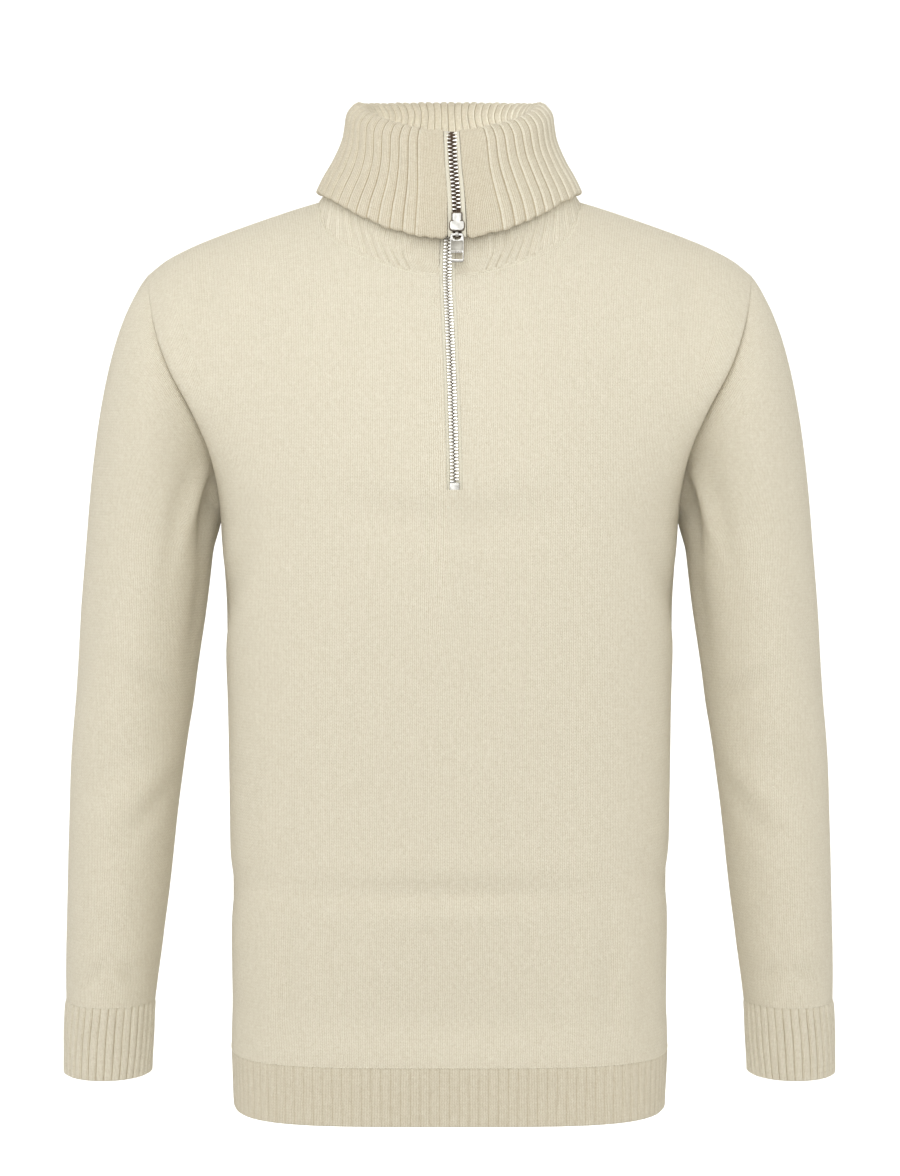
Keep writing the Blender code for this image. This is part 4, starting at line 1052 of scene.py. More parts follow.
@dataclass
class Sleeve:
    """A set-in sleeve, from the armhole down to the cuff."""

    form: BodyForm
    arm: Arm
    folds: tuple[Fold, ...]
    thickness: float = 2.4 * MM
    first_ring: float = -268 * MM
    cuff_seam: float = -601 * MM
    cap_rows: int = 26
    ring_rows: int = 62
    groove: float = 0.2 * MM
    stand_off: float = 0.3 * MM  # how far its edge is lifted off the panels at the underarm
    ripple: float = 0.4 * MM
    fixed_rows: int = 5

    def loop(self) -> tuple[Grid, Grid, Grid]:
        """The armhole as one loop from the shoulder point round the front.

        Returns:
            The turn round the sleeve of each point, the points, and the directions out there.
        """
        rises = self.form.rises
        front = self.form.armhole_point(rises, Face.FRONT)[::-1]
        back = self.form.armhole_point(rises, Face.BACK)
        loop = np.concatenate([front, back[1:]])
        walk = walked(loop, 0)
        turns = np.interp(walk, [0, walk[len(front) - 1], walk[-1]], [0, 0.5, 1])
        ahead, behind = self.form.mitres(Face.FRONT), self.form.mitres(Face.BACK)
        mitres = np.concatenate([ahead[::-1], behind[1:]])
        return turns[:-1], loop[:-1], mitres[:-1]

    def outside(self) -> tuple[Grid, Grid, Grid]:
        """The sleeve's outer points, its normals, and the turn of each of its columns."""
        turns, loop, mitres = self.loop()
        table = SmoothTable(SLEEVE_TABLE, "outer inner half_depth ahead")
        first = ring_point(table, turns, self.first_ring)
        second = ring_point(table, turns, self.first_ring - 10 * MM)
        reach = np.linalg.norm(first - loop, axis=1, keepdims=True)
        cosine, sine = np.cos(turns * FULL_TURN)[:, None], np.sin(turns * FULL_TURN)[:, None]
        beside = np.concatenate([0.8 * np.abs(sine), -0.42 * sine, -0.45 * np.abs(sine)], axis=1)
        leave = np.clip(cosine, 0, 1) * np.array([0.62, 0, -0.78]) + beside
        leave = unit(leave + np.clip(-cosine, 0, 1) * np.array([0.1, 0, -1.0]))
        arrive = unit(second - first)
        seam_way = unit(np.roll(loop, -1, axis=0) - np.roll(loop, 1, axis=0))
        off = unit(np.cross(seam_way, mitres))
        off *= np.sign((off[0] * leave[0]).sum())
        under = np.clip(-cosine, 0, 1)
        start = loop + off * SEAM_GAP + (off * under**2 + np.sqrt(under) * mitres) * self.stand_off
        steps = np.linspace(0, 1, self.cap_rows + 1)[:-1]
        cap = [hermite(start, leave * reach * 0.74, first, arrive * reach * 1.05, t) for t in steps]
        heights = np.linspace(self.first_ring, self.cuff_seam + SEAM_GAP, self.ring_rows)
        rings = ring_point(table, turns[None], heights[:, None])
        outer = np.concatenate([np.array(cap), rings])
        normals = grid_normals(outer, closed=True)
        normals[-1, :, 2] = 0
        normals[-1] = unit(normals[-1])
        # Where the sleeve hangs close beside the panels, its edge stands square to itself.
        alike = (normals[0] * mitres).sum(-1, keepdims=True)
        normals[0] = unit(mitres + ease(1 - alike / 0.6) * (normals[0] - mitres))
        return outer, normals, turns

    def wall(self) -> Wall:
        """Works out the sleeve.

        Returns:
            Its wall.
        """
        outer, normals, turns = self.outside()
        closed = np.concatenate([outer, outer[:, :1]], axis=1)
        around = walked(closed, 1)
        down = walked(outer, 0)
        rows = len(outer)
        free = from_edges(rows, self.fixed_rows)[:, None]
        across = turns[None] * TURN_PARTS * MM
        push = sum(fold.push(across, outer[..., 2]) for fold in self.folds) * free
        # A faint unevenness: three waves round the sleeve, and one each 20 cm down it.
        ripple = np.sin(turns * 3 * FULL_TURN + 0.7)[None] * np.sin(outer[..., 2] * 31 + 2.0)
        push = push + self.ripple * ripple * free
        depth = np.zeros((rows, 1))
        depth[0] = self.groove
        shown = outer + normals * (push - depth)[..., None]
        inner = outer + normals * (push - self.thickness)[..., None]
        side = np.array([self.arm.value, 1, 1])
        up = np.concatenate([down, down[:, :1]], axis=1)
        up = (up[-1:] - up) / COURSE
        front = np.stack([around / WALE, up], axis=-1)
        back = np.stack([(around - around[:, -1:]) / WALE, up], axis=-1)
        name = f"sleeve_{self.arm.name.lower()}_knit"
        breaks = {int(np.argmin(np.abs(turns - 0.5))): back}
        return Wall(name, shown * side, inner * side, front, closed=True, breaks=breaks)


@dataclass
class RibProfile:
    """Broad rounded ribs with a narrow valley between them."""

    raise_by: float
    valley: float = 0.15
    crown: float = 0.12
    samples: tuple[float, ...] = (0.0, 0.07, 0.14, 0.22, 0.34, 0.5, 0.66, 0.78, 0.86, 0.93)

    def places(self, ribs: int, ends: bool) -> Grid:
        """The places of the columns, in ribs, with a valley at each whole number.

        Args:
            ribs: How many ribs there are.
            ends: Whether the last valley is a column of its own.

        Returns:
            The places.
        """
        places = (np.arange(ribs)[:, None] + np.array(self.samples)[None]).ravel()
        return np.append(places, ribs) if ends else places

    def height(self, places: Grid) -> Grid:
        """The height of the knit there, from 0 in a valley to raise_by on a rib."""
        away = np.abs(places - np.round(places))
        crown = self.crown * (np.cos(FULL_TURN * (away - 0.5)) - 1)
        return self.raise_by * (1 - bell(away, self.valley) + crown)


    def sides(
        self, base: Grid, normals: Grid, rib: Grid, thickness: float, shares: Grid
    ) -> tuple[Grid, Grid]:
        """Both sides of a band.

        Args:
            base: Points on its outside, between the ribs and the valleys.
            normals: The directions out there.
            rib: How far the knit stands out from them.
            thickness: The band's thickness.
            shares: The share of it at each row.

        Returns:
            The outer and the inner points.
        """
        middle = base - normals * thickness / 2
        thick = shares[:, None, None]
        outer = middle + normals * (thickness / 2 + rib[..., None]) * thick
        return outer, middle - normals * (thickness / 2) * thick


def rib_stitches(places: Grid, up: Grid) -> Grid:
    """The place in a band's knit: one rib to a unit across, and courses up."""
    return np.stack(np.broadcast_arrays(places[None], (up / COURSE)[:, None]), axis=-1)


def rounded_rows(start: float, end: float, count: int, radius: float) -> tuple[Grid, Grid]:
    """Rows down to a rounded edge.

    Args:
        start: The first row's place.
        end: The edge's.
        count: How many rows lie before the rounding.
        radius: The rounding's radius, half the cloth's thickness.

    Returns:
        The rows' places and the share of the full thickness at each.
    """
    way = math.copysign(1, end - start)
    straight = np.linspace(start, end - way * radius, count)
    turn = np.linspace(0, math.radians(80), 6)[1:]
    places = np.concatenate([straight, end - way * radius * (1 - np.sin(turn))])
    shares = np.concatenate([np.ones(count), np.cos(turn)])
    return places, shares


@dataclass
class Cuff:
    """A ribbed cuff whose ribs lean a little as they run down."""

    arm: Arm
    ribs: int = 34
    rows: int = 16
    seam: float = -601 * MM
    bottom: float = -656 * MM
    thickness: float = 3.0 * MM
    lean: float = -0.014
    profile: RibProfile = field(default_factory=lambda: RibProfile(1.2 * MM, 0.14))

    def wall(self) -> Wall:
        """Works out the cuff.

        Returns:
            Its wall.
        """
        table = SmoothTable(CUFF_TABLE, "outer inner half_depth ahead")
        places = self.profile.places(self.ribs, ends=False)
        top, edge = self.seam - SEAM_GAP, self.thickness / 2
        heights, shares = rounded_rows(top, self.bottom, self.rows, edge)
        fall = (heights - self.seam) / (self.bottom - self.seam)
        wander = 0.003 * np.sin(fall[:, None] * 4 + places[None] * 0.45) * fall[:, None]
        turns = places[None] / self.ribs + self.lean * fall[:, None] + wander
        base = ring_point(table, turns, heights[:, None])
        normals = grid_normals(base, closed=True)
        normals = unit(normals * LEVEL)
        raised = self.profile.height(places)[None] * ease(fall * 9 + 0.45)[:, None]
        uneven = 1 + 0.25 * np.sin(places * 2.1)[None] * np.sin(fall * 4)[:, None]
        rib = raised * uneven - self.profile.raise_by * 0.5
        sides = self.profile.sides(base, normals, rib, self.thickness, shares)
        outer, inner = (points * np.array([self.arm.value, 1, 1]) for points in sides)
        stitches = rib_stitches(np.append(places, self.ribs), self.seam - heights)
        name = f"cuff_{self.arm.name.lower()}_rib"
        return Wall(name, outer, inner, stitches, closed=True)


@dataclass
class Hem:
    """A ribbed band under one panel."""

    form: BodyForm
    face: Face
    ribs: int = 70
    rows: int = 14
    thickness: float = 3.0 * MM
    profile: RibProfile = field(default_factory=lambda: RibProfile(0.5 * MM, valley=0.2))

    def wall(self) -> Wall:
        """Works out the band.

        Returns:
            Its wall.
        """
        places = self.profile.places(self.ribs, ends=True)
        share = 2 * places / self.ribs - 1
        fine = np.linspace(0, 1, 600)
        outline = self.form.level_point(fine, self.form.hem_bottom, self.face)
        length = walked(outline, 0)
        across = np.sign(share) * np.interp(np.abs(share), length / length[-1], fine)
        top, bottom = self.form.hem_seam - SEAM_GAP, self.form.hem_bottom
        heights, shares = rounded_rows(top, bottom, self.rows, self.thickness / 2)
        base = self.form.level_point(np.abs(across)[None], heights[:, None], self.face)
        base[..., 0] *= np.sign(across)
        along = np.gradient(base, axis=1)
        normals = unit(np.stack([along[..., 1], -along[..., 0], 0 * along[..., 0]], axis=-1))
        normals *= np.sign(normals[0, len(places) // 2, 1] * self.face.value)
        normals[:, 0] = (-1, 0, 0)
        normals[:, -1] = (1, 0, 0)
        fall = (heights - heights[0]) / (heights[-1] - heights[0])
        raised = self.profile.height(places)[None] * ease(fall * 7 + 0.3)[:, None]
        uneven = 1 + 0.3 * np.sin(places * 1.7)[None] * np.cos(fall * 3)[:, None]
        rib = raised * uneven - self.profile.raise_by * 0.6
        outer, inner = self.profile.sides(base, normals, rib, self.thickness, shares)
        if self.face is Face.BACK:
            for side in (outer, inner):
                side[:, [0, -1], 1] += 2 * SEAM_GAP
        stitches = rib_stitches(places, heights[0] - heights)
        return Wall(f"hem_{self.face.name.lower()}_rib", outer, inner, stitches)


# ---- collar ----


@dataclass
class Collar:
    """The ribbed collar: a stand, a roll and a fall in one piece, open at the zip.

    The table's rows are half width, distance ahead and behind, the height in front, at the sides
    and behind, the power by which it falls away to the front, half the slit and the zip's drift.
    """

    form: BodyForm
    ribs: int = COLLAR_RIBS
    crowd: float = 0.19
    thickness: float = 4.4 * MM
    rows: int = 66
    corner: float = 2.6 * MM
    edge_round: float = 1.4 * MM
    rib_pitch: float = 6.2 * MM
    scallop: float = 0.35 * MM
    edge_wander: float = 0.55 * MM
    sway: float = 1.6 * MM
    billow: float = 1.1 * MM
    profile: RibProfile = field(
        default_factory=lambda: RibProfile(
            1.1 * MM, 0.11, samples=(0.0, 0.06, 0.12, 0.21, 0.5, 0.79, 0.88, 0.94)
        )
    )
    rings: Table = (
        (91.6, 81.0, 58.5, -46, 5.0, 8, 2.4, 5.6, -1.4),
        (88.0, 79.5, 57.5, -34, 12.0, 16, 2.2, 5.6, -1.0),
        (77.0, 76.0, 55.5, -8, 33.0, 38, 1.9, 5.6, -0.2),
        (66.8, 72.0, 55.0, 20, 52.5, 59, 1.6, 5.6, 0.6),
        (61.6, 70.0, 56.0, 38, 64.0, 72, 1.4, 5.6, 1.1),
        (67.6, 74.0, 60.0, 46.4, 72.2, 78.8, 1.3, 5.6, 1.4),
        (74.4, 78.4, 64.4, 39, 65.8, 72.5, 1.4, 5.6, 1.8),
        (76.0, 80.6, 66.0, 30, 57.0, 64, 1.5, 5.6, 2.3),
        (77.4, 82.0, 67.5, 20, 47.5, 54, 1.6, 5.7, 3.0),
        (84.2, 84.8, 71.0, 1, 30.0, 36, 1.9, 5.9, 4.6),
        (92.6, 87.0, 75.0, -17, 15.0, 20, 2.1, 6.5, 5.4),
        (97.2, 88.6, 78.0, -31.5, 5.2, 8, 2.2, 6.8, 5.6),
    )
    roll_ring: int = 5

    def ring(self, row: tuple[float, ...], phi: Grid) -> Grid:
        """Points of one ring of the table at the angles phi, 0 in front."""
        half, ahead, behind, front, side, back, droop = row[:7]
        middle = self.form.collar_middle / MM
        forward = np.cos(phi)
        depth = np.where(forward > 0, ahead + middle, behind - middle)
        fall = (front - side) * np.abs(forward) ** droop
        rise = (back - side) * np.abs(forward) ** 1.5
        height = side + np.where(forward > 0, fall, rise)
        return np.stack([half * np.sin(phi), middle - forward * depth, height], axis=-1) * MM

    def angles(self, row: tuple[float, ...], places: Grid) -> Grid:
        """The angles of the ribs' places on a ring, closer together in front and behind."""
        start = math.asin((row[7] + row[8]) / row[0])
        end = math.asin((row[7] - row[8]) / row[0])
        even = 1 - self.crowd
        first, last = start / even, FULL_TURN - end / even
        turns = first + (last - first) * places / self.ribs
        return turns - self.crowd * np.sin(2 * turns) / 2

    def foot(self, panels: tuple[Panel, Panel], phi: Grid) -> tuple[Grid, Grid]:
        """The stand's foot on the neck edge.

        Args:
            panels: The front and the back.
            phi: The angles of its columns.

        Returns:
            Its outer and its inner points.
        """
        neck = self.form.neck_lines
        points, ways = [], []
        for panel in panels:
            grid, shared = panel.sides()
            edge = grid[-1, :neck].copy()
            way = self.form.neck_ways(edge, shared[-1, :neck])
            edge[0, 0] = 0
            order = slice(None) if panel.face is Face.FRONT else slice(-2, None, -1)
            points.append(edge[order])
            ways.append(way[order])
        loop, out = np.concatenate(points), np.concatenate(ways)
        angles = np.arctan2(loop[:, 0], self.form.collar_middle - loop[:, 1])
        beside = np.where(phi > math.pi, FULL_TURN - phi, phi)
        outer = read_line(loop, angles, beside)
        way = unit(read_line(out, angles, beside))
        for sided in (outer, way):
            sided[phi > math.pi, 0] *= -1
        lean = np.clip((way * self.form.stand_ways(outer)).sum(-1, keepdims=True), 0.6, 1)
        return outer, outer - way * self.thickness / lean

    def middle(self, panels: tuple[Panel, Panel], places: Grid) -> tuple[Grid, Grid, Grid]:
        """The middle of the collar's wall.

        Args:
            panels: The front and the back.
            places: The columns' places in ribs.

        Returns:
            Its points, its edges in x on both sides of the slit, and the rows' shares of
            the full thickness.
        """
        foot = np.mean(self.foot(panels, self.angles(self.rings[0], places)), axis=0)
        rings = [self.ring(row, self.angles(row, places)) for row in self.rings]
        control = np.array([foot] + rings)
        key = walked(control, 0).mean(axis=1)
        radius = self.thickness / 2
        at, shares = rounded_rows(0, key[-1], self.rows, radius)
        # The fall's lower corners beside the zip are rounded.
        from_edge = np.minimum(places, self.ribs - places) * self.rib_pitch
        into = np.clip(1 - from_edge / self.corner, 0, 1)
        trim = self.corner * (1 - np.sqrt(1 - into**2))
        late = ease((at / key[-1] - 0.75) / 0.25)
        # Each rib ends in a small rounded loop, and the edge wanders a little.
        scallop = -self.scallop * np.cos(FULL_TURN * places)
        scallop += self.edge_wander * np.sin(places * 2.3) * np.sin(places * 0.37 + 1)
        reach = at[:, None] - late[:, None] * (trim - scallop)[None]
        slopes = np.gradient(control, key, axis=0)
        low = np.clip(np.searchsorted(key, reach, side="right") - 1, 0, len(key) - 2)
        step = (key[low + 1] - key[low])[..., None]
        t = (reach - key[low])[..., None] / step
        column = np.arange(len(places))[None]
        (start, leave), (end, arrive) = (
            (control[row, column], slopes[row, column] * step) for row in (low, low + 1)
        )
        points = hermite(start, leave, end, arrive, t)
        gaps = np.array(self.rings[:1] + self.rings)[:, 7:9] * MM
        slit, drift = smooth_rows(gaps, key, at).T
        return points, np.stack([drift + slit, drift - slit], axis=-1), shares

    def wall(self, panels: tuple[Panel, Panel]) -> Wall:
        """Works out the collar.

        Args:
            panels: The front and the back.

        Returns:
            Its wall.
        """
        places = self.profile.places(self.ribs, ends=True)
        middle, edges, shares = self.middle(panels, places)
        normals = unit(np.cross(np.gradient(middle, axis=1), np.gradient(middle, axis=0)))
        inward = (normals[6] * (middle[6] * LEVEL)).sum() > 0
        normals = -normals if inward else normals
        length = walked(middle, 0)
        share_down = length / length[-1:]
        # The ribs sway and billow a little on the fall, but not beside the zip.
        from_zip = np.minimum(places, self.ribs - places)[None]
        free = np.clip(from_zip / 3, 0, 1)
        sway = self.sway * ease((share_down - 0.62) / 0.3) * np.sin(places * 0.61 + share_down * 5)
        along = unit(np.gradient(middle, axis=1))
        middle = middle + along * (sway * free)[..., None]
        billow = self.billow * np.sin(places * 0.43 + 1.0)[None] * ease((share_down - 0.6) / 0.4)
        middle = middle + normals * (billow * free)[..., None]
        # Beside the zip the ribs lie flat on the tape's facing.
        facing = ease((from_zip - FACING_RIBS + 0.7) / 1.4)
        raised = self.profile.height(places)[None] * facing
        raised = raised * (1 + 0.2 * np.sin(places * 1.9)[None] * np.sin(share_down * 9))
        into_edge = np.clip(1 - from_zip * self.rib_pitch / self.edge_round, 0, 0.97)
        thick = (shares[:, None] * np.sqrt(1 - into_edge**2))[..., None]
        top = (self.thickness / 2 + raised - self.profile.raise_by / 2)[..., None]
        shown = middle + normals * top * thick
        behind = self.profile.height(places + 0.5)[None] * facing - self.profile.raise_by / 2
        plain = middle - normals * (self.thickness / 2 + behind)[..., None] * thick
        for side in (shown, plain):
            side[:, 0, 0] = edges[:, 0]
            side[:, -1, 0] = edges[:, 1]
        stitches = np.stack(np.broadcast_arrays(places[None], length / COURSE + 1), axis=-1)
        return Wall("collar_rib", shown, plain, stitches)


# ---- zip ----


def ahead_of(way: Grid) -> Grid:
    """Directions out of the cloth along a line that runs this way up the front."""
    return unit(np.cross(way, np.array([-1.0, 0, 0])))


@dataclass
class ZipLine:
    """The line the zip runs along: up the front, up the stand, over the roll and down."""

    form: BodyForm
    collar: Collar
    front: Panel
    tape_end: float = -227 * MM

    def path(self) -> tuple[Grid, float, float]:
        """The line's points, finely spaced.

        Returns:
            The points, and how far along them the stand starts and the roll's top lies.
        """
        grid, shared = (side[self.form.lower_rows :, 0] for side in self.front.sides())
        body = grid - shared * self.front.thickness / 2
        body = body[body[:, 2] > self.tape_end][::4]
        body[:, 0] = self.form.zip_table.read("drift", body[:, 2] / MM) * MM
        collar = np.array([self.collar.ring(row, np.float64(0)) for row in self.collar.rings])
        collar[:, 0] = [row[8] * MM for row in self.collar.rings]
        control = np.concatenate([body, collar])
        key = walked(control, 0)
        fine = np.linspace(0, key[-1], 900)
        roll = key[len(body) + self.collar.roll_ring]
        return smooth_rows(control, key, fine), key[len(body)], roll


@dataclass
class ZipChain:
    """Two rows of metal teeth that lock into each other, on woven tapes."""

    line: ZipLine
    body_pitch: float = 2.45 * MM
    fall_pitch: float = 2.9 * MM
    half: float = 3.2 * MM
    tape_inner: float = 0.1 * MM
    tape_narrow: float = 5.5 * MM
    tape_wide: float = 13.5 * MM
    tape_thick: float = 0.8 * MM
    # How far out the tape lies under the teeth and beside them, on the body and on the fall,
    # and behind the cloth.
    tape_levels: Table = ((-0.9 * MM, 0.2 * MM), (0.8 * MM, -1.2 * MM))
    tape_hidden: float = -2.15 * MM
    # How far the painted shade under the teeth is drawn in on the body.
    painted_shade_tuck: float = 2.2 * MM
    stop_top: float = -207.5 * MM
    slider_top: float = -12.3 * MM

    def tooth(self) -> tuple[Grid, Grid]:
        """One tooth, its root outwards at +X and its nose at the chain's middle.

        Returns:
            Its points and four-cornered faces.
        """
        # Along x: places, half height along the chain and half thickness of the tooth there.
        profile = (
            (0.1, 0.32, 0.75), (0.6, 0.4, 0.9), (1.0, 0.38, 0.95),
            (1.5, 0.47, 1.1), (2.9, 0.5, 1.15), (3.15, 0.4, 0.95),
        )
        quarter = ((-1, -0.6), (-0.6, -1), (0.6, -1), (1, -0.6))
        section = quarter + tuple((-way, -depth) for way, depth in quarter)
        points = [
            (out * MM, way * high * MM, depth * thick * MM)
            for out, high, thick in profile
            for way, depth in section
        ]
        numbers = np.arange(len(points)).reshape(-1, 8)
        around = np.concatenate([numbers, numbers[:, :1]], axis=1)
        caps = [(0, 3, 2, 1), (0, 7, 4, 3), (7, 6, 5, 4)]
        last = numbers[-1, 0]
        ends = [tuple(n + last for n in reversed(cap)) for cap in caps]
        return np.array(points), np.concatenate([quads(around).reshape(-1, 4), caps, ends])

    def teeth(
        self, name: str, path: Grid, start: float, end: float, pitch: float, spread: float,
        swell: float, material: Material,
    ) -> Object:
        """A stretch of the chain.

        Args:
            name: The object's name.
            path: The zip's line.
            start: Where the stretch begins along the line.
            end: Where it ends.
            pitch: The distance between two teeth of a row.
            spread: How far the rows part where the chain bends over the roll.
            swell: How much higher along the chain a tooth is than its profile says.
            material: Its finish.

        Returns:
            The new object.
        """
        shape, cells = self.tooth()
        shape[:, 1] *= swell
        key = walked(path, 0)
        roll = self.line.path()[2]
        all_points = []
        for side, offset in ((-1, 0.0), (1, pitch / 2)):
            places = np.arange(start + offset + 0.4 * pitch, end - 0.3 * pitch, pitch)
            middle = read_line(path, key, places)
            way = unit(read_line(path, key, places + MM) - middle)
            out = ahead_of(way)
            across = np.cross(out, way)
            apart = spread * bell(np.abs(places - roll), 11 * MM)
            for n in range(len(places)):
                local = shape.copy()
                local[:, 0] = side * (local[:, 0] + apart[n])
                all_points.append(middle[n] + local @ np.array([-across[n], way[n], out[n]]))
        faces = repeated(cells, len(shape), len(all_points))
        points, uvs = np.concatenate(all_points), np.zeros((faces.size, 2))
        obj = new_object(name, points, faces, uvs, material, 35)
        fix_normals(obj)
        return obj

    def tape(self, path: Grid, stand: float, side: int, material: Material) -> Object:
        """One tape, wide behind the front's cloth and narrow on the collar.

        Args:
            path: The zip's line.
            stand: How far along it the stand starts.
            side: 1 for the wearer's left and -1 for the right.
            material: Its finish.

        Returns:
            The new object.
        """
        path = path[::4]
        key = walked(path, 0)
        on_collar = ease((key - stand + 6 * MM) / (10 * MM))
        roll = key[int(np.argmax(path[:, 2]))]
        # On the fall the tape's other side is the one that shows.
        on_fall = ease((key - roll + 8 * MM) / (16 * MM))
        edge = self.tape_narrow
        on_edge = edge + 1.1 * MM * np.clip((key - roll) / (key[-1] - roll), 0, 1)
        far = self.tape_wide + (on_edge - self.tape_wide) * on_collar
        out = ahead_of(np.gradient(path, axis=0) * np.array([0, 1, 1]))
        teeth_edge = self.half + 0.1 * MM
        near = [*np.linspace(self.tape_inner, teeth_edge, 6), *np.linspace(3.6 * MM, edge, 4)]
        first = edge + 0.15 * MM
        beyond = first + (far[:, None] - first) * np.linspace(0, 1, 7)[None]
        across = np.concatenate([np.tile(near, (len(path), 1)), beyond], axis=1)
        # It lies low under the teeth, comes up beside them, and then runs behind the cloth.
        beside = ease((across - self.half) / (0.5 * MM))
        sunk = ease((across - edge) / (0.15 * MM)) * (1 - on_collar[:, None])
        body, fall = (low + (high - low) * beside for low, high in self.tape_levels)
        shown = body + (fall - body) * on_fall[:, None]
        offset = shown + (self.tape_hidden - shown) * sunk
        base = np.repeat(path[:, None], across.shape[1], axis=1) + out[:, None] * offset[..., None]
        base[..., 0] += side * across
        lift = np.full(across.shape, self.tape_thick / 2)[..., None] * out[:, None]
        # The painted shade under the teeth shows wider on the fall, where the teeth are sparser.
        painted_shade_across = across + self.painted_shade_tuck * (1 - on_fall[:, None])
        stitches = np.stack(
            np.broadcast_arrays(painted_shade_across / (0.55 * MM), key[:, None] / (0.7 * MM)), axis=-1
        )
        name = f"zip_tape_{Arm(side).name.lower()}_twill"
        return Wall(name, base + lift, base - lift, stitches).build(material)

    def stop(self, path: Grid, material: Material) -> Object:
        """The bottom stop: a crimped metal block across both rows."""
        rising = path[: int(np.argmax(path[:, 2]))]
        places = np.array([-215.0, -214.4, -213.0, -211.2, -209.4, -208.1, -207.5]) * MM
        middle = read_line(rising, rising[:, 2], places)
        swell = np.array([0.72, 0.92, 1.0, 0.97, 1.0, 0.92, 0.72])
        spans = np.array([-1, -0.93, -0.5, 0, 0.5, 0.93, 1.0])
        dome = np.array([0.45, 0.85, 1.0, 0.9, 1.0, 0.85, 0.45])
        base = np.repeat(middle[:, None], 7, axis=1)
        base[..., 0] += 3.6 * MM * spans * (0.9 + 0.1 * swell[:, None])
        base[..., 1] -= 0.3 * MM
        lift = np.zeros_like(base)
        lift[..., 1] = -1.4 * MM * swell[:, None] * dome[None]
        wall = Wall("zip_stop_metal", base + lift, base - lift, base[..., :2] * 0, sharp=40)
        return wall.build(material)


# ---- metal pieces ----

METAL_SHARP = 38.0  # degrees from which an edge stays crisp
FROM_FRONT = (0, 2, 1)  # the axes that an outline's across, up and depth lie along
FROM_SIDE = (1, 2, 0)
THROUGH = (-4 * MM, 4 * MM)  # from before any piece of metal to behind it


def fix_normals(obj: Object) -> None:
    """Turns an object's faces outwards."""
    mesh = bmesh.new()
    mesh.from_mesh(obj.data)
    bmesh.ops.recalc_face_normals(mesh, faces=mesh.faces)
    mesh.to_mesh(obj.data)
    mesh.free()


def extruded(
    name: str, outline: Outline, low: float, high: float, axes: tuple[int, int, int],
    material: Material,
) -> Object:
    """A plate from its outline.

    Args:
        name: The object's name.
        outline: Its corners in the plane of the first two axes.
        low: Where it starts along the third axis.
        high: Where it ends.
        axes: The numbers of the three axes.
        material: Its finish.

    Returns:
        The new object.
    """
    count = len(outline)
    points = np.zeros((2 * count, 3))
    points[:, axes[0]] = [p[0] for p in outline] * 2
    points[:, axes[1]] = [p[1] for p in outline] * 2
    points[:, axes[2]] = [low] * count + [high] * count
    faces = [tuple(range(count)), tuple(reversed(range(count, 2 * count)))]
    faces += [(k, k + count, (k + 1) % count + count, (k + 1) % count) for k in range(count)]
    mesh = bpy.data.meshes.new(name)
    mesh.from_pydata(points.tolist(), [], faces)
    mesh.materials.append(material)
    obj = linked(name, mesh)
    fix_normals(obj)
    return obj


def combine(obj: Object, other: Object, operation: str) -> None:
    """Joins or cuts with another object, and removes that one."""
    modifier = obj.modifiers.new(operation, "BOOLEAN")
    modifier.operation = operation
    modifier.object = other
    apply_modifiers(obj)
    bpy.data.objects.remove(other)


def apply_modifiers(obj: Object) -> None:
    """Makes an object's modified shape its own."""
    graph = bpy.context.evaluated_depsgraph_get()
    mesh = bpy.data.meshes.new_from_object(obj.evaluated_get(graph))
    obj.modifiers.clear()
    obj.data = mesh


def soften(obj: Object, width: float, segments: int = 2) -> None:
    """Rounds an object's edges.

    Args:
        obj: The object.
        width: The rounding's width.
        segments: How many faces make it.
    """
    bevel = obj.modifiers.new("edges", "BEVEL")
    bevel.width = width
    bevel.segments = segments
    bevel.limit_method = "ANGLE"
    bevel.angle_limit = math.radians(35)
    apply_modifiers(obj)
    smoothed(obj.data, METAL_SHARP)


def paint_edge_shade(obj: Object, edge: Material, flat: float) -> None:
    """Gives the faces whose normals have less than this share along Y a dark finish: painted shade
    on the edges.
    """
    obj.data.materials.append(edge)
    for polygon in obj.data.polygons:
        if abs(polygon.normal.y) < flat:
            polygon.material_index = 1


def disc(radius: float, centre: tuple[float, float], count: int = 32) -> Outline:
    """A circle's points in a plane."""
    turns = np.arange(count) * FULL_TURN / count
    return [(centre[0] + radius * math.cos(a), centre[1] + radius * math.sin(a)) for a in turns]


def rectangle(half: float, low: float, high: float, cut: float) -> Outline:
    """A rectangle with cut corners."""
    right = [(half - cut, high), (half, high - cut), (half, low + cut), (half - cut, low)]
    left = [(-x, z) for x, z in right]
    return [left[0], *right, *left[:0:-1]]


def cut_out(obj: Object, outline: Outline, low: float, high: float, axes: tuple[int, ...]) -> None:
    """Takes a straight-sided hole of this outline out of a piece."""
    cutter = extruded("cutter", outline, low, high, axes, obj.data.materials[0])
    combine(obj, cutter, "DIFFERENCE")


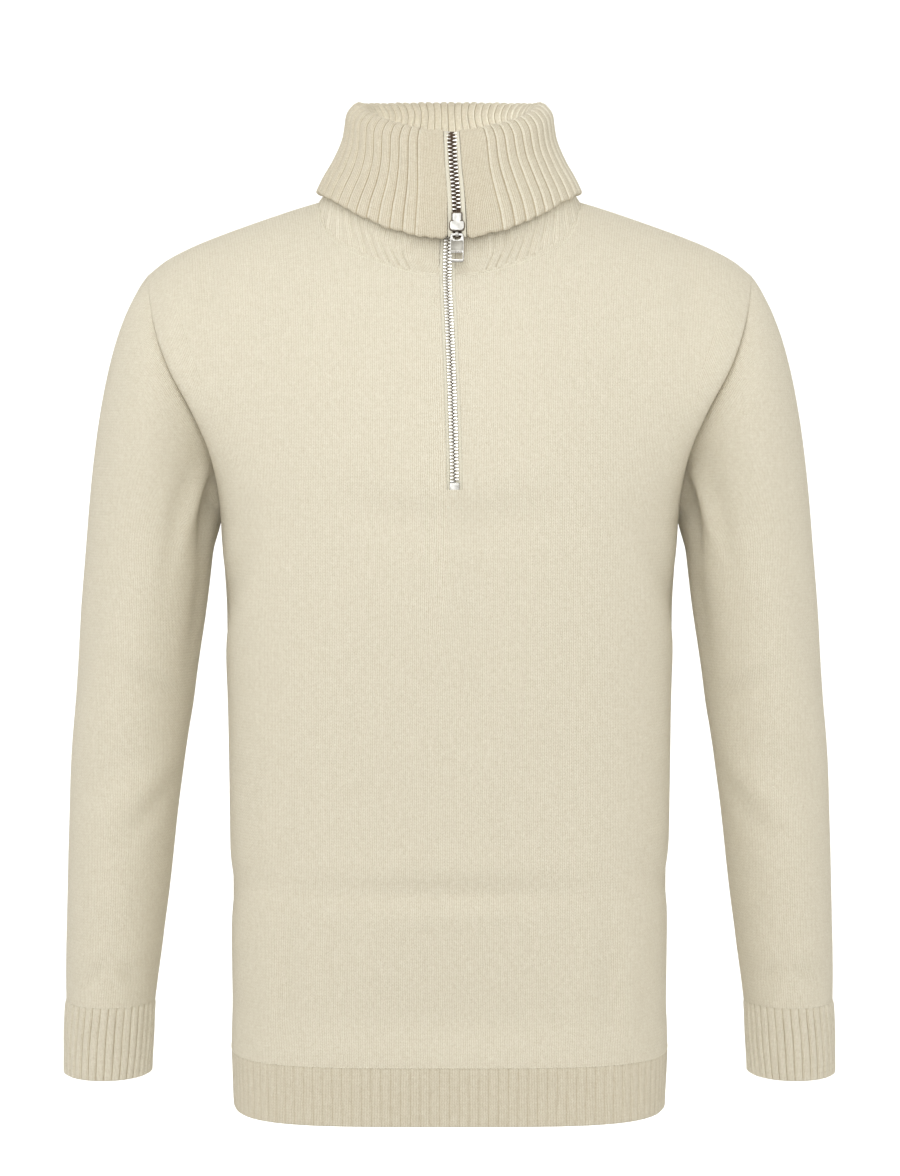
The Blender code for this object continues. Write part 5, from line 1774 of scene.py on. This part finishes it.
@dataclass
class Slider:
    """The zip's slider at the fall's lower edge, neck upwards, with the ring for its tab."""

    across: float
    ahead: float
    top: float = -12.3 * MM
    bottom: float = -26.2 * MM
    half: float = 5.8 * MM
    core_half: float = 2.9 * MM
    plate: float = 1.1 * MM
    clear: float = 1.6 * MM
    pivot_z: float = -28.6 * MM
    pivot_ahead: float = 4.4 * MM
    plate_raise: float = 0.45 * MM
    # Raised plates on its front: lowest, highest and half width.
    plates: Table = (
        (-19.5 * MM, -12.9 * MM, 3.4 * MM),
        (-25.4 * MM, -18.6 * MM, 5.2 * MM),
    )

    def outline(self) -> Outline:
        """The slider's outline from the front: a neck that widens into shoulders."""
        half = [
            (0.62, 0.0), (0.69, -0.5), (0.69, -4.6), (0.74, -5.6), (0.88, -6.7), (0.98, -7.8),
            (1.0, -9.0), (1.0, -11.2), (0.95, -12.6), (0.82, -13.6), (0.66, -13.9),
        ]
        right = [(self.half * x, self.top + z * MM) for x, z in half]
        return right + [(-x, z) for x, z in reversed(right)]

    def build(self, material: Material, edge: Material) -> Object:
        """Makes the slider.

        Args:
            material: Its finish.
            edge: The dark finish painted on its edges as shade.

        Returns:
            The new object.
        """
        reach = self.clear + self.plate
        back, front = self.ahead + reach, self.ahead - reach
        body = extruded("zip_slider_metal", self.outline(), front, back, FROM_FRONT, material)
        high, low = self.top + 2 * MM, self.bottom - 2 * MM
        for side in (-1, 1):
            core, wide = side * self.core_half, side * 2 * self.half
            channel = [(core, high), (wide, high), (wide, low), (core, low)]
            cut_out(body, channel, self.ahead - self.clear, self.ahead + self.clear, FROM_FRONT)
        soften(body, 0.75 * MM, 4)
        for low, high, half in self.plates:
            plate = [(half - 0.8 * MM, high), (half, high - 0.8 * MM), (half, low + 1.6 * MM)]
            plate.append((half - 1.4 * MM, low))
            plate += [(-x, z) for x, z in reversed(plate)]
            near, deep = front - self.plate_raise, front + 0.5 * MM
            raised = extruded("plate", plate, near, deep, FROM_FRONT, material)
            soften(raised, 0.3 * MM, 1)
            combine(body, raised, "UNION")
        ahead, height = pivot = (self.ahead - self.pivot_ahead, self.pivot_z)
        lug = [
            (ahead + 1.2 * MM, height + 0.4 * MM),
            (self.ahead + 1.0 * MM, height + 0.8 * MM),
            (self.ahead + 1.0 * MM, self.bottom + 1 * MM),
            (front + 0.3 * MM, self.bottom + 1 * MM),
            (ahead + 0.2 * MM, height + 2.4 * MM),
        ]
        ring = extruded("ring", disc(2.9 * MM, pivot), -1.1 * MM, 1.1 * MM, FROM_SIDE, material)
        combine(ring, extruded("lug", lug, -1.05 * MM, 1.05 * MM, FROM_SIDE, material), "UNION")
        cut_out(ring, disc(1.6 * MM, pivot), *THROUGH, FROM_SIDE)
        soften(ring, 0.22 * MM, 2)
        combine(body, ring, "UNION")
        smoothed(body.data, METAL_SHARP)
        # Its edges get the painted shade.
        paint_edge_shade(body, edge, 0.86)
        # The plates' flanks and the slider's front between them get the painted shade as well.
        for polygon in body.data.polygons:
            _, y, z = polygon.center
            if front - self.plate_raise + 0.3 * MM < y < self.ahead and z > self.bottom + MM:
                polygon.material_index = 1
        body.location.x = self.across
        return body


@dataclass
class PullTab:
    """The slider's tab: an eye at the top, a sunk brushed face and a slot at its foot."""

    place: Place
    half: float = 4.9 * MM
    thick: float = 1.8 * MM
    top: float = 0.75 * MM
    length: float = 20.0 * MM
    eye: float = 3.3 * MM

    def build(self, material: Material, edge: Material, panel: Material) -> Object:
        """Makes the tab.

        Args:
            material: Its finish.
            edge: The dark finish painted as shade on its edges and in the cuts in its face.
            panel: The finish of its sunk face.

        Returns:
            The new object.
        """
        outline = rectangle(self.half, -self.length, self.top, 1.0 * MM)
        back = self.thick / 2
        tab = extruded("pull_tab_metal", outline, -back, back, FROM_FRONT, material)
        arch = [(x, z) for x, z in disc(self.eye, (0, -self.top), 40) if z <= -self.top + 1e-6]
        cut_out(tab, arch, *THROUGH, FROM_FRONT)
        cut_out(tab, rectangle(4.1 * MM, -17.9 * MM, -13.3 * MM, 0.3 * MM), *THROUGH, FROM_FRONT)
        self.sink(tab, rectangle(4.3 * MM, -11.7 * MM, -4.7 * MM, 0.4 * MM), 0.28 * MM)
        soften(tab, 0.2 * MM, 2)
        for n in range(-3, 4):
            dash = rectangle(0.4 * MM, -12.8 * MM, -12.15 * MM, 0.05 * MM)
            self.sink(tab, [(x + n * 1.15 * MM, z) for x, z in dash], 0.15 * MM)
        smoothed(tab.data, METAL_SHARP)
        # Its edges get the painted shade.
        paint_edge_shade(tab, edge, 0.8)
        tab.data.materials.append(panel)
        # The bottoms of the dashes get the painted shade, the sunk face the brushed panel's own
        # colour.
        for polygon in tab.data.polygons:
            _, ahead, height = polygon.center
            if abs(polygon.normal.y) > 0.8 and abs(ahead) < self.thick / 2 - 0.05 * MM:
                polygon.material_index = 1 if height < -11.9 * MM else 2
        tab.location = self.place
        return tab

    def sink(self, tab: Object, outline: Outline, depth: float) -> None:
        """Cuts a flat-bottomed sink into the front and the back of the tab."""
        for side in (-1, 1):
            low, high = sorted((side * (self.thick / 2 - depth), side * 2 * MM))
            cut_out(tab, outline, low, high, FROM_FRONT)


# ---- seams ----


@dataclass
class LinkedSeam:
    """A row of small chain stitches along a line on the cloth."""

    name: str
    pitch: float = 2.6 * MM
    size: Place = (1.3 * MM, 0.5 * MM, 0.3 * MM)
    skew: float = 0.22

    def build(self, line: Grid, outs: Grid, material: Material) -> Object:
        """Makes the row.

        Args:
            line: Points along the seam.
            outs: The direction away from the cloth at each.
            material: Its finish.

        Returns:
            The new object.
        """
        key = walked(line, 0)
        places = np.arange(self.pitch / 2, key[-1], self.pitch)
        spots = read_line(line, key, places)
        out = unit(read_line(outs, key, places))
        way = unit(np.gradient(spots, axis=0))
        out = unit(across_from(out, way))
        side = np.cross(out, way)
        tilt = self.skew * np.where(np.arange(len(spots)) % 2 == 0, 1, -1)[:, None]
        return beads(self.name, spots, unit(way + side * tilt), out, self.size, material)


# ---- the sweater ----

FRONT_FOLDS = folds(
    (118, -577, -3.4, 52, 7, -2.0), (-118, -577, 3.4, 52, 7, -2.2),
    (131, -582, -3, 50, 8, 1.2), (-131, -582, 3, 50, 8, 1.2),
    (104, -570, -4, 54, 9, 0.9), (-105, -570, 4, 54, 9, 0.9),
    (0, -625, 90, 125, 62, -4.5), (0, -506, 90, 100, 8, -2.2),
    (10, -488, 90, 90, 11, 0.9), (-20, -524, 88, 70, 10, 0.5),
    (0, -236, 90, 80, 16, -1.5), (60, -222, 68, 40, 15, -1.1),
    (-60, -222, -68, 40, 15, -1.1), (0, -208, 90, 90, 16, 0.7),
    (176, -66, 2, 34, 9, -1.9), (-176, -66, -2, 34, 9, -1.9),
    (163, -74, 6, 36, 11, 1.0), (-163, -74, -6, 36, 11, 1.0),
    (160, -505, -55, 42, 15, -1.8), (-160, -512, 55, 42, 15, -1.8),
    (163, -288, -24, 52, 11, -2.6), (148, -292, -20, 50, 12, 1.5),
    (-163, -290, 22, 54, 11, -2.8), (-149, -296, 20, 50, 12, 1.5),
    (70, -400, 8, 80, 22, -0.9), (-72, -440, -6, 90, 22, -0.9),
)
BACK_FOLDS = folds(
    (64, -470, 28, 96, 20, -2.6), (-70, -480, -26, 96, 20, -2.6),
    (40, -520, 32, 80, 18, 1.5), (-44, -526, -30, 80, 18, 1.5),
    (128, -575, 6, 70, 17, -2.6), (-128, -570, -6, 70, 17, -2.6),
    (150, -285, -24, 60, 15, -3.0), (-150, -288, 24, 60, 15, -3.0),
    (132, -296, -22, 56, 15, 1.6), (-132, -300, 22, 56, 15, 1.6),
    (176, -120, 26, 50, 16, -2.2), (-176, -120, -26, 50, 16, -2.2),
    (0, -130, 90, 90, 22, -1.2),
)
# On a sleeve the place round it is in thousandths of a turn: 250 in front, 500 on the body's
# side and 750 behind.
SLEEVE_FOLDS = folds(
    (372, -222, 30, 34, 15, 1.8), (428, -224, 24, 36, 30, -6.5),
    (330, -232, 20, 46, 22, -1.6), (440, -300, 20, 46, 34, -2.2),
    (200, -430, 80, 120, 20, -1.6), (335, -365, 99, 95, 9, -2.2),
    (320, -349, 98, 90, 10, 1.1), (350, -455, 76, 90, 12, -1.5),
    (320, -436, 78, 90, 12, 0.9), (640, -240, -8, 44, 30, -3.0),
    (600, -250, -6, 40, 28, 2.2), (700, -440, -78, 130, 20, -2.4),
    (680, -415, -78, 120, 18, 1.6), (820, -330, -60, 120, 24, -1.6),
    (120, -320, 60, 110, 26, -1.4), (200, -580, 74, 70, 7, -1.6),
    (330, -578, 106, 70, 7, -1.6), (265, -562, 90, 130, 9, 1.0),
    (740, -568, -84, 140, 12, -1.6),
)


@dataclass
class Sweater:
    """The whole garment and its finishes."""

    form: BodyForm = field(default_factory=BodyForm)

    def __post_init__(self) -> None:
        """Makes the shared node groups and the finishes."""
        groups = {"knit": knit_group(), "wool": wool_group(), "brushing": brushing_group()}
        narrow = {"stitch_scale": (3.0, 1.0)}
        self.plain, self.rib, self.folded, self.band, self.yarn = (
            knit.build(groups)
            for knit in (
                Knit("cream_plain_knit"),
                Knit("cream_cuff_rib", **narrow, painted_valley_shade=0.3, lit_share=0.5),
                Knit(
                    "cream_collar_rib", **narrow, painted_valley_shade=0.55, painted_valley_sharpness=11.0,
                    lit_share=0.8, shown_shade=0.2, facing=True,
                ),
                Knit(
                    "cream_hem_rib", **narrow, painted_gap_shade=0.75, painted_valley_shade=0.18,
                    shown_shade=0.08,
                ),
                Knit("cream_linking_yarn", depth=0.1, painted_gap_shade=0.0),
            )
        )
        self.tape = Tape().build(groups)
        # Light and dark colour, roughness and, for the panel, the depth of its brushing.
        self.teeth, self.metal, self.worn, self.tab, self.brushed = (
            Plating(*plating).build(groups)
            for plating in (
                ("zip_teeth_plating", (0.96, 0.95, 0.92), (0.8, 0.78, 0.74), 0.33),
                ("slider_plating", (0.42, 0.41, 0.39), (0.26, 0.25, 0.23), 0.3),
                # The edge plating is painted shade for the slider's and the tab's edges.
                ("slider_edge_plating", (0.17, 0.14, 0.11), (0.08, 0.065, 0.05), 0.45),
                ("tab_plating", (0.46, 0.45, 0.43), (0.3, 0.29, 0.27), 0.3),
                ("tab_brushed_panel", (0.40, 0.385, 0.345), (0.32, 0.305, 0.27), 0.5, 0.35),
            )
        )

    def place(self, obj: Object, slot: str, nodes: Names = (), body: str = "garment") -> Object:
        """Fastens a piece to the frame and reports it.

        Args:
            obj: The piece.
            slot: The record's material slot; not used.
            nodes: The frame's nodes that it stands for.
            body: The frame's body that it moves with.

        Returns:
            The piece.
        """
        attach(obj, body)
        if nodes:
            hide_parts(*nodes)
        log.info("%s, %d faces, %s", obj.name, len(obj.data.polygons), ", ".join(nodes) or "added")
        return obj

    def cloth(
        self, wall: Wall, material: Material, node: str
    ) -> None:
        """Builds a piece of cloth, held up from inside as when someone wears it.

        Args:
            wall: Its wall.
            material: Its finish.
            node: The frame's node that it stands for.
        """
        obj = wall.build(material)
        self.place(obj, "knit" if material is self.plain else "rib", (node,))

    def build_cloth(self) -> tuple[Panel, Panel, Collar]:
        """Builds the knitted pieces.

        Returns:
            The front, the back and the collar.
        """
        front = Panel(self.form, Face.FRONT, FRONT_FOLDS)
        back = Panel(self.form, Face.BACK, BACK_FOLDS)
        collar = Collar(self.form)
        self.cloth(front.wall(), self.plain, "front")
        self.cloth(back.wall(), self.plain, "back")
        for arm in Arm:
            side = arm.name.lower()
            sleeve = Sleeve(self.form, arm, SLEEVE_FOLDS).wall()
            self.cloth(sleeve, self.plain, f"sleeve_{side}")
            self.cloth(Cuff(arm).wall(), self.rib, f"cuff_{side}")
        for face in Face:
            hem = Hem(self.form, face).wall()
            self.cloth(hem, self.band, f"hem_{face.name.lower()}")
        self.cloth(collar.wall((front, back)), self.folded, "collar")
        return front, back, collar

    def build_zip(self, front: Panel, collar: Collar) -> None:
        """Builds the zip.

        Args:
            front: The panel it is sewn into.
            collar: The collar it runs over.
        """
        line = ZipLine(self.form, collar, front)
        path, stand, roll = line.path()
        key = walked(path, 0)
        chain = ZipChain(line)
        peak = int(np.argmax(path[:, 2]))
        start = float(np.interp(chain.stop_top, path[:peak, 2], key[:peak]))
        end = float(np.interp(-chain.slider_top, -path[peak:, 2], key[peak:]))
        for name, *stretch in (
            ("body", start, roll, chain.body_pitch, 0.5 * MM, 1.75),
            ("fall", roll, end, chain.fall_pitch, 1.1 * MM, 1.35),
        ):
            row = chain.teeth(f"zip_teeth_{name}", path, *stretch, self.teeth)
            self.place(row, "zip_metal", (f"zip_chain_{name}",))
        for arm in Arm:
            tape = chain.tape(path, stand, arm.value, self.tape)
            self.place(tape, "tape", (f"zip_tape_{arm.name.lower()}",))
        self.place(chain.stop(path, self.metal), "zip_metal", ("zip_stop",))
        joint = frame["joints"][0]["pos_m"]
        slider = Slider(joint[0], joint[1] + Slider.pivot_ahead)
        self.place(slider.build(self.metal, self.worn), "zip_metal", ("zip_slider",))
        tab = PullTab(tuple(joint)).build(self.tab, self.worn, self.brushed)
        self.place(tab, "zip_metal", ("pull_tab",), body="pull_tab")

    def build_seams(self, front: Panel, back: Panel) -> None:
        """Sews the linking stitches along the neck and hem."""
        for panel in (front, back):
            grid, shared = panel.sides()
            side = panel.face.name.lower()
            for row, lift, name in ((-1, -0.1, "neck_linking"), (-4, 0.05, "neck_second_row")):
                # In front the row stops short of the zip's slit.
                along = slice(int(panel.face is Face.FRONT), self.form.neck_lines)
                outs = shared[min(row, -2), along]
                line = grid[row, along] + outs * lift * MM
                for half, mirror in (("right", MIRROR), ("left", 1)):
                    seam = LinkedSeam(f"{name}_{side}_{half}")
                    self.place(seam.build(line * mirror, outs * mirror, self.yarn), "knit")
            edge = grid[0] + shared[0] * 0.1 * MM
            whole = np.concatenate([edge[:0:-1] * MIRROR, edge])
            outs = np.concatenate([shared[0][:0:-1] * MIRROR, shared[0]])
            hem = LinkedSeam(f"hem_linking_{side}", 2.4 * MM, (1.0 * MM, 0.35 * MM, 0.3 * MM))
            self.place(hem.build(whole, outs, self.yarn), "knit")


# ---- studio ----


@dataclass
class Studio:
    """A pale floor that sweeps up behind, soft lights and the camera."""

    floor_z: float = -1.25
    camera_place: Place = (0.0004, -2.3, -0.148)
    aim: Place = (0.0004, 0.0, -0.291)
    lens: float = 92.8

    def build_floor(self) -> None:
        """Makes the floor and its sweep."""
        bend, start = 1.8, 2.7
        sweep = [(-5.0, 0.0), (start, 0.0)]
        sweep += [
            (start + bend * math.sin(a), bend - bend * math.cos(a))
            for a in np.radians(np.linspace(5, 90, 18))
        ]
        sweep.append((start + bend, 6.5))
        rows = np.array([[(x, y, self.floor_z + z) for x in (-6.0, 6.0)] for y, z in sweep])
        numbers = np.arange(rows.shape[0] * 2).reshape(-1, 2)
        graph = Graph.of_material("pale_studio_paper")
        grain = graph.noise(graph.object_place(), 60.0, 3.0)
        colour = graph.blend(grain, (0.86, 0.86, 0.855, 1), (0.84, 0.84, 0.835, 1))
        material = graph.dress({"Base Color": colour, "Roughness": 0.95})
        faces = quads(numbers).reshape(-1, 4)
        uvs = np.zeros((faces.size, 2))
        new_object("studio_floor", rows.reshape(-1, 3), faces, uvs, material, 60)

    def stand(self, data: bpy.types.ID, place: Place, aim: Place) -> Object:
        """Stands a lamp or a camera at a place, turned to its aim."""
        obj = bpy.data.objects.new(data.name, data)
        obj.location = place
        way = Vector(aim) - Vector(place)
        obj.rotation_euler = way.to_track_quat("-Z", "Y").to_euler()
        bpy.context.scene.collection.objects.link(obj)
        return obj

    def light(
        self, name: str, place: Place, size: float, power: float,
        aim: Place = (0, 0, -0.3), colour: Colour = (0.96, 0.985, 1.0),
    ) -> None:
        """Adds a soft square light.

        Args:
            name: Its name.
            place: Where it stands.
            size: The length of its sides.
            power: Its power in watts.
            aim: The place it is turned to.
            colour: Its colour.
        """
        lamp = bpy.data.lights.new(name, "AREA")
        lamp.shape = "SQUARE"
        lamp.size = size
        lamp.energy = power
        lamp.color = colour
        self.stand(lamp, place, aim).visible_camera = False

    def build(self) -> None:
        """Sets up the floor, the lights, the surroundings and the camera."""
        self.build_floor()
        self.light("front", (-0.1, -1.6, 0.35), 1.0, 11.5, (0, 0, -0.1))
        self.light("high", (-0.3, -1.3, 1.5), 1.0, 10.5, (0, 0, -0.1))
        self.light("low", (0, -1.5, -1.0), 0.5, 0.8, (0, 0, -0.4), (1.0, 0.88, 0.68))
        within = (0, 0.06, 0.06)
        self.light("inside_neck", (0, -0.045, -0.045), 0.06, 0.15, within, (0.93, 0.97, 1.0))
        self.light("left", (-2.1, -0.5, 0.2), 1.3, 9)
        self.light("right", (2.1, -0.5, 0.2), 1.3, 10)
        self.light("rear", (0.3, 2.0, 0.3), 1.2, 13)
        self.light("backdrop", (0.0, 1.2, 0.7), 2.4, 95, (0.0, 3.8, -0.5))
        scene = bpy.context.scene
        world = scene.world or bpy.data.worlds.new("studio")
        scene.world = world
        world.use_nodes = True
        background = world.node_tree.nodes["Background"]
        background.inputs["Color"].default_value = (1.0, 0.955, 0.875, 1)
        background.inputs["Strength"].default_value = 0.59
        scene.view_settings.view_transform = "Standard"
        camera = bpy.data.cameras.new("camera")
        camera.lens = self.lens
        camera.sensor_width = 36
        scene.camera = self.stand(camera, self.camera_place, self.aim)


def main() -> None:
    """Builds the sweater and its studio."""
    sweater = Sweater()
    front, back, collar = sweater.build_cloth()
    sweater.build_zip(front, collar)
    sweater.build_seams(front, back)
    Studio().build()


if __name__ == "__main__":
    main()
